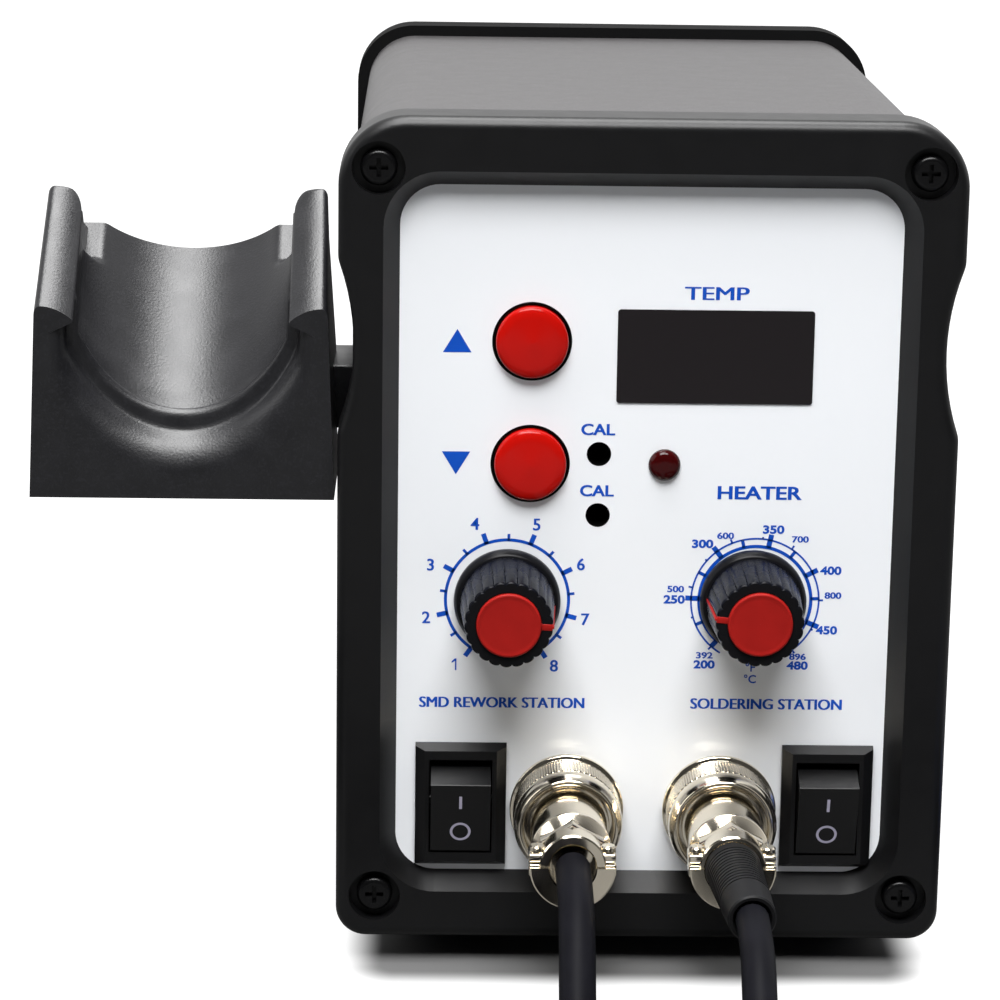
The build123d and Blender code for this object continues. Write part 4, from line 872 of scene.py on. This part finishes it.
def holder_point(point, side, low, y=None, s=None, drop=0.0):
    """One point of the holder's upper surface, on an upright plane y or at s up its slope."""
    kind, u, n = point
    mid = low.x + HALF_W
    y0, z0 = low.y - AHEAD, SEAT_FLOOR
    if y is not None:
        top = ((y - y0) * sin(SLOPE) + EAR_N) / cos(SLOPE)
    else:
        top = s * sin(SLOPE) + EAR_N * cos(SLOPE)
    outer = HALF_W - DRAFT * (z0 + top - low.z)
    if kind == "crown":
        u, n = CROWN_FROM + (outer - EDGE_R - CROWN_FROM) * u, EAR_N - CROWN_H * (1 - u) ** 2
    elif kind == "edge":
        u, n = outer - EDGE_R + sin(radians(u)), EAR_N - EDGE_R + cos(radians(u))
    here = s if s is not None else (y - y0 + n * sin(SLOPE)) / cos(SLOPE)
    if y is not None and kind in ("arc", "wall"):
        push = holder_push(y - low.y) * (1 - smooth(n, 14.2, 14.95))
        tilt = min(radians(90), sqrt(max(0, n)) * 0.36)
        u, n = u + push * sin(tilt), n - push * cos(tilt)
    if kind == "arc":
        flat = smooth(here, LEDGE_FROM - 0.6, LEDGE_FROM + 1.4)
        n -= flat * max(0.0, n - LEDGE_N)
    if kind != "arc":
        n = max(LEDGE_N, n - drop)
    if y is None:
        y = y0 + s * cos(SLOPE) - n * sin(SLOPE)
    return (mid + side * u, y, z0 + ((y - y0) * sin(SLOPE) + n) / cos(SLOPE))


def holder():
    """The trough between its ears, with a rounded lip, a seat, a bead and a ledge at each side."""
    low, high = cad("handpiece_holder")
    half = holder_section()
    across = [(p, -1) for p in reversed(half[1:])] + [(p, 1) for p in half]
    depths = [LIP_R * (1 - cos(radians(a))) for a in range(0, 91, 15)]
    depths += [3.1, 3.45, 3.7, 3.85, 3.95, 4.05, 4.25, 4.45, 4.65, 4.85, 5.05, 5.3, 5.7, 6.0, 8.0]
    rows = [[holder_point(p, side, low, y=low.y + d) for p, side in across] for d in depths]
    start = [(y - low.y + AHEAD) * cos(SLOPE) + (z - SEAT_FLOOR) * sin(SLOPE)
             for _, y, z in rows[-1]]
    for k in range(1, 9):
        rows.append([holder_point(p, side, low, s=s0 + (EAR_FROM - s0) * k / 8)
                     for (p, side), s0 in zip(across, start)])
    for k in range(1, EAR_ROWS + 1):
        rows.append([holder_point(p, side, low,
                                  s=EAR_FROM + (ear_end(p) - 0.4 - EAR_FROM) * k / EAR_ROWS)
                     for p, side in across])
    for past, drop in ((-0.12, 0.08), (0.0, 0.35), (0.0, FULL_DROP)):
        rows.append([holder_point(p, side, low, s=ear_end(p) + past, drop=drop)
                     for p, side in across])
    for k in (0.3, 0.8):
        rows.append([holder_point(p, side, low, s=ear_end(p) + (TROUGH_TO - ear_end(p)) * k,
                                  drop=FULL_DROP) for p, side in across])
    last = [holder_point(p, side, low, s=TROUGH_TO, drop=FULL_DROP) for p, side in across]
    back = [(x, y + 0.9, z - 2.2) for x, y, z in last]
    y_back = max(y for _, y, _ in back) + 1.5
    mid = low.x + HALF_W

    def drafted(row, y, z):
        """A row at (y, z), as wide as the drafted body is at that height."""
        spread = (HALF_W - DRAFT * (z - low.z)) / max(abs(x - mid) for x, _, _ in row)
        return [(mid + (x - mid) * spread, y, z) for x, _, _ in row]

    rows += [last, back, [(x, y_back, BACK_TOP) for x, _, _ in last],
             drafted(last, y_back, BLOCK_TOP), drafted(last, low.y + 22.0, low.z),
             drafted(rows[0], low.y, low.z)]
    shape = Shape().skin(rows, closed=False)
    n, m = len(across), len(rows)
    shape.faces.append(tuple(range(n)) + tuple((m - 1) * n + j for j in reversed(range(n))))
    for j in (0, n - 1):
        shape.faces.append(tuple(i * n + j for i in range(m)))
    shape.box((mid + HALF_W - 2.2, low.y + 20.0, HOOK_FOOT), (high.x, high.y, 96.0), bevel=0.5)
    shape.piece("holder_body", "dark_grey_satin", replaces=("handpiece_holder",), sharp=32)


# ---------------------------------------------------------------- cords

# Each quarter of a coil runs in its own lane and eases into the next; a spline runs SHRINK inside
# its control points
POINTS_PER_TURN = 16
LANE_EASE = 0.14
SHRINK = 0.981
SPLINE_ORDER = 3
STRAP_HALF, STRAP_POINTS = 2.6, 40


def coil_points(coil, diameter, start, turn):
    """Control points of a coil two turns wide and two high, from the low outer lane to the high."""
    x, y, middle_r = coil
    low, high = diameter / 2 + 0.1, diameter * 1.5 + 0.1
    lanes = [(middle_r + diameter / 2, low), (middle_r - diameter / 2, low),
             (middle_r - diameter / 2, high), (middle_r + diameter / 2, high)]
    total = int(COIL_TURNS * POINTS_PER_TURN)
    points = []
    for k in range(total + 1):
        spot = k / total * len(lanes)
        lane = min(3, int(spot))
        step, into = spot - lane, 0.0
        if lane > 0 and step < LANE_EASE:
            lane, into = lane - 1, (step + LANE_EASE) / (2 * LANE_EASE)
        elif lane < 3 and step > 1 - LANE_EASE:
            into = (step - 1 + LANE_EASE) / (2 * LANE_EASE)
        r = lanes[lane][0] * (1 - into) + lanes[min(3, lane + 1)][0] * into
        height = lanes[lane][1] * (1 - into) + lanes[min(3, lane + 1)][1] * into
        angle = start + turn * 2 * pi * COIL_TURNS * k / total
        points.append((x + r / SHRINK * cos(angle), y + r / SHRINK * sin(angle), height))
    return points


def cord_piece(name, points, diameter, finish):
    """One smooth spline through the whole of a cord, as a round tube."""
    curve = bpy.data.curves.new(name, "CURVE")
    curve.dimensions = "3D"
    spline = curve.splines.new("NURBS")
    spline.points.add(len(points) - 1)
    for point, place in zip(spline.points, points):
        point.co = (*[c * MM for c in place], 1)
    spline.order_u = SPLINE_ORDER
    spline.use_endpoint_u = True
    spline.resolution_u = 6
    curve.bevel_depth = diameter / 2 * MM
    curve.bevel_resolution = 6
    curve.use_fill_caps = True
    curve.materials.append(finish)
    obj = bpy.data.objects.new(name, curve)
    bpy.context.collection.objects.link(obj)
    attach(obj, "station")
    return obj


def squared(value):
    """A sine or cosine drawn out, for a section between an oval and a box."""
    return copysign(sqrt(abs(value)), value)


def coil_tie(name, coil, diameter, angle):
    """A soft strap round the coil's turns."""
    x, y, r = coil
    half_w, half_h = diameter + 0.5, diameter + 0.55
    rows = []
    for side in (-STRAP_HALF, STRAP_HALF):
        row = []
        for k in range(STRAP_POINTS):
            a = 2 * pi * k / STRAP_POINTS
            height = half_h * squared(sin(a)) + diameter + 0.1
            row.append((half_w * squared(cos(a)), side, max(0.02, height)))
        rows.append(row)
    place = at(x, y, 0) @ Matrix.Rotation(angle, 4, "Z") @ at(r, 0, 0)
    return Shape().skin(rows, matrix=place).piece(name, "black_rubber", finish=surface(
        "strap_weave", (0.014, 0.014, 0.016), 0.8, grain=0.9, size=0.35, deep=0.06))


def cords():
    """Both cords with their coils and straps, each tied to the tool at its far end."""
    air_line = AIR_LEAD + coil_points(AIR_COIL, AIR_CORD_D, 0.0, -1)[1:] + AIR_TAIL
    air = cord_piece("hot_air_cord_line", air_line, AIR_CORD_D, FINISH["cord_rubber"])
    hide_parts("hot_air_cord", "hot_air_cord_coil")
    iron_line = IRON_LEAD + coil_points(IRON_COIL, IRON_CORD_D, pi, 1)[1:] + IRON_TAIL
    iron = cord_piece("iron_cord_line", iron_line, IRON_CORD_D, FINISH["cord_rubber"])
    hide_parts("iron_cord", "iron_cord_coil")
    air_tie = coil_tie("hot_air_coil_tie", AIR_COIL, AIR_CORD_D, radians(110))
    iron_tie = coil_tie("iron_coil_tie", IRON_COIL, IRON_CORD_D, radians(70))


# ---------------------------------------------------------------- the frame's own nodes

def dress_nodes():
    """Every CAD node gets its slot's finish; the rear bezel a dull black, the trimmer rotors
    painted shade.
    """
    dull = surface("matt_black", (0.003, 0.003, 0.0032), 0.75, grain=0.4, size=0.35, shine=0.08)
    for part in frame["record"]["subparts"]:
        node = part["node"]
        finish = FINISH[part["material_slot"]]
        # Painted shade: the brass trimmer rotors are made near-black for the shade deep in their
        # holes
        if node.endswith("trimmer_rotor"):
            finish = PAINTED_SHADE_BLACK
        elif node == "rear_bezel":
            finish = dull
        obj = frame["nodes"][node]
        obj.data.materials.clear()
        obj.data.materials.append(finish)


camera()
FINISH = palette()
# Painted shade: a near-black for holes and gaps that look dark only from the shade in them
PAINTED_SHADE_BLACK = surface("painted_shade_black", (0.0015, 0.0015, 0.0015), 0.6, shine=0.05)
studio()
dress_nodes()
connectors()
boot_parts = boots()
cords()
panel_print()
rocker_marks()
knob("airflow_knob", "airflow_control", AIR_KNOB, -3.0, 15.0)
knob("iron_knob", "iron_control", IRON_KNOB, 174.0, 13.9, -0.4)
button("up_button")
button("down_button")
trimmer_holes()
lamp()
holder()
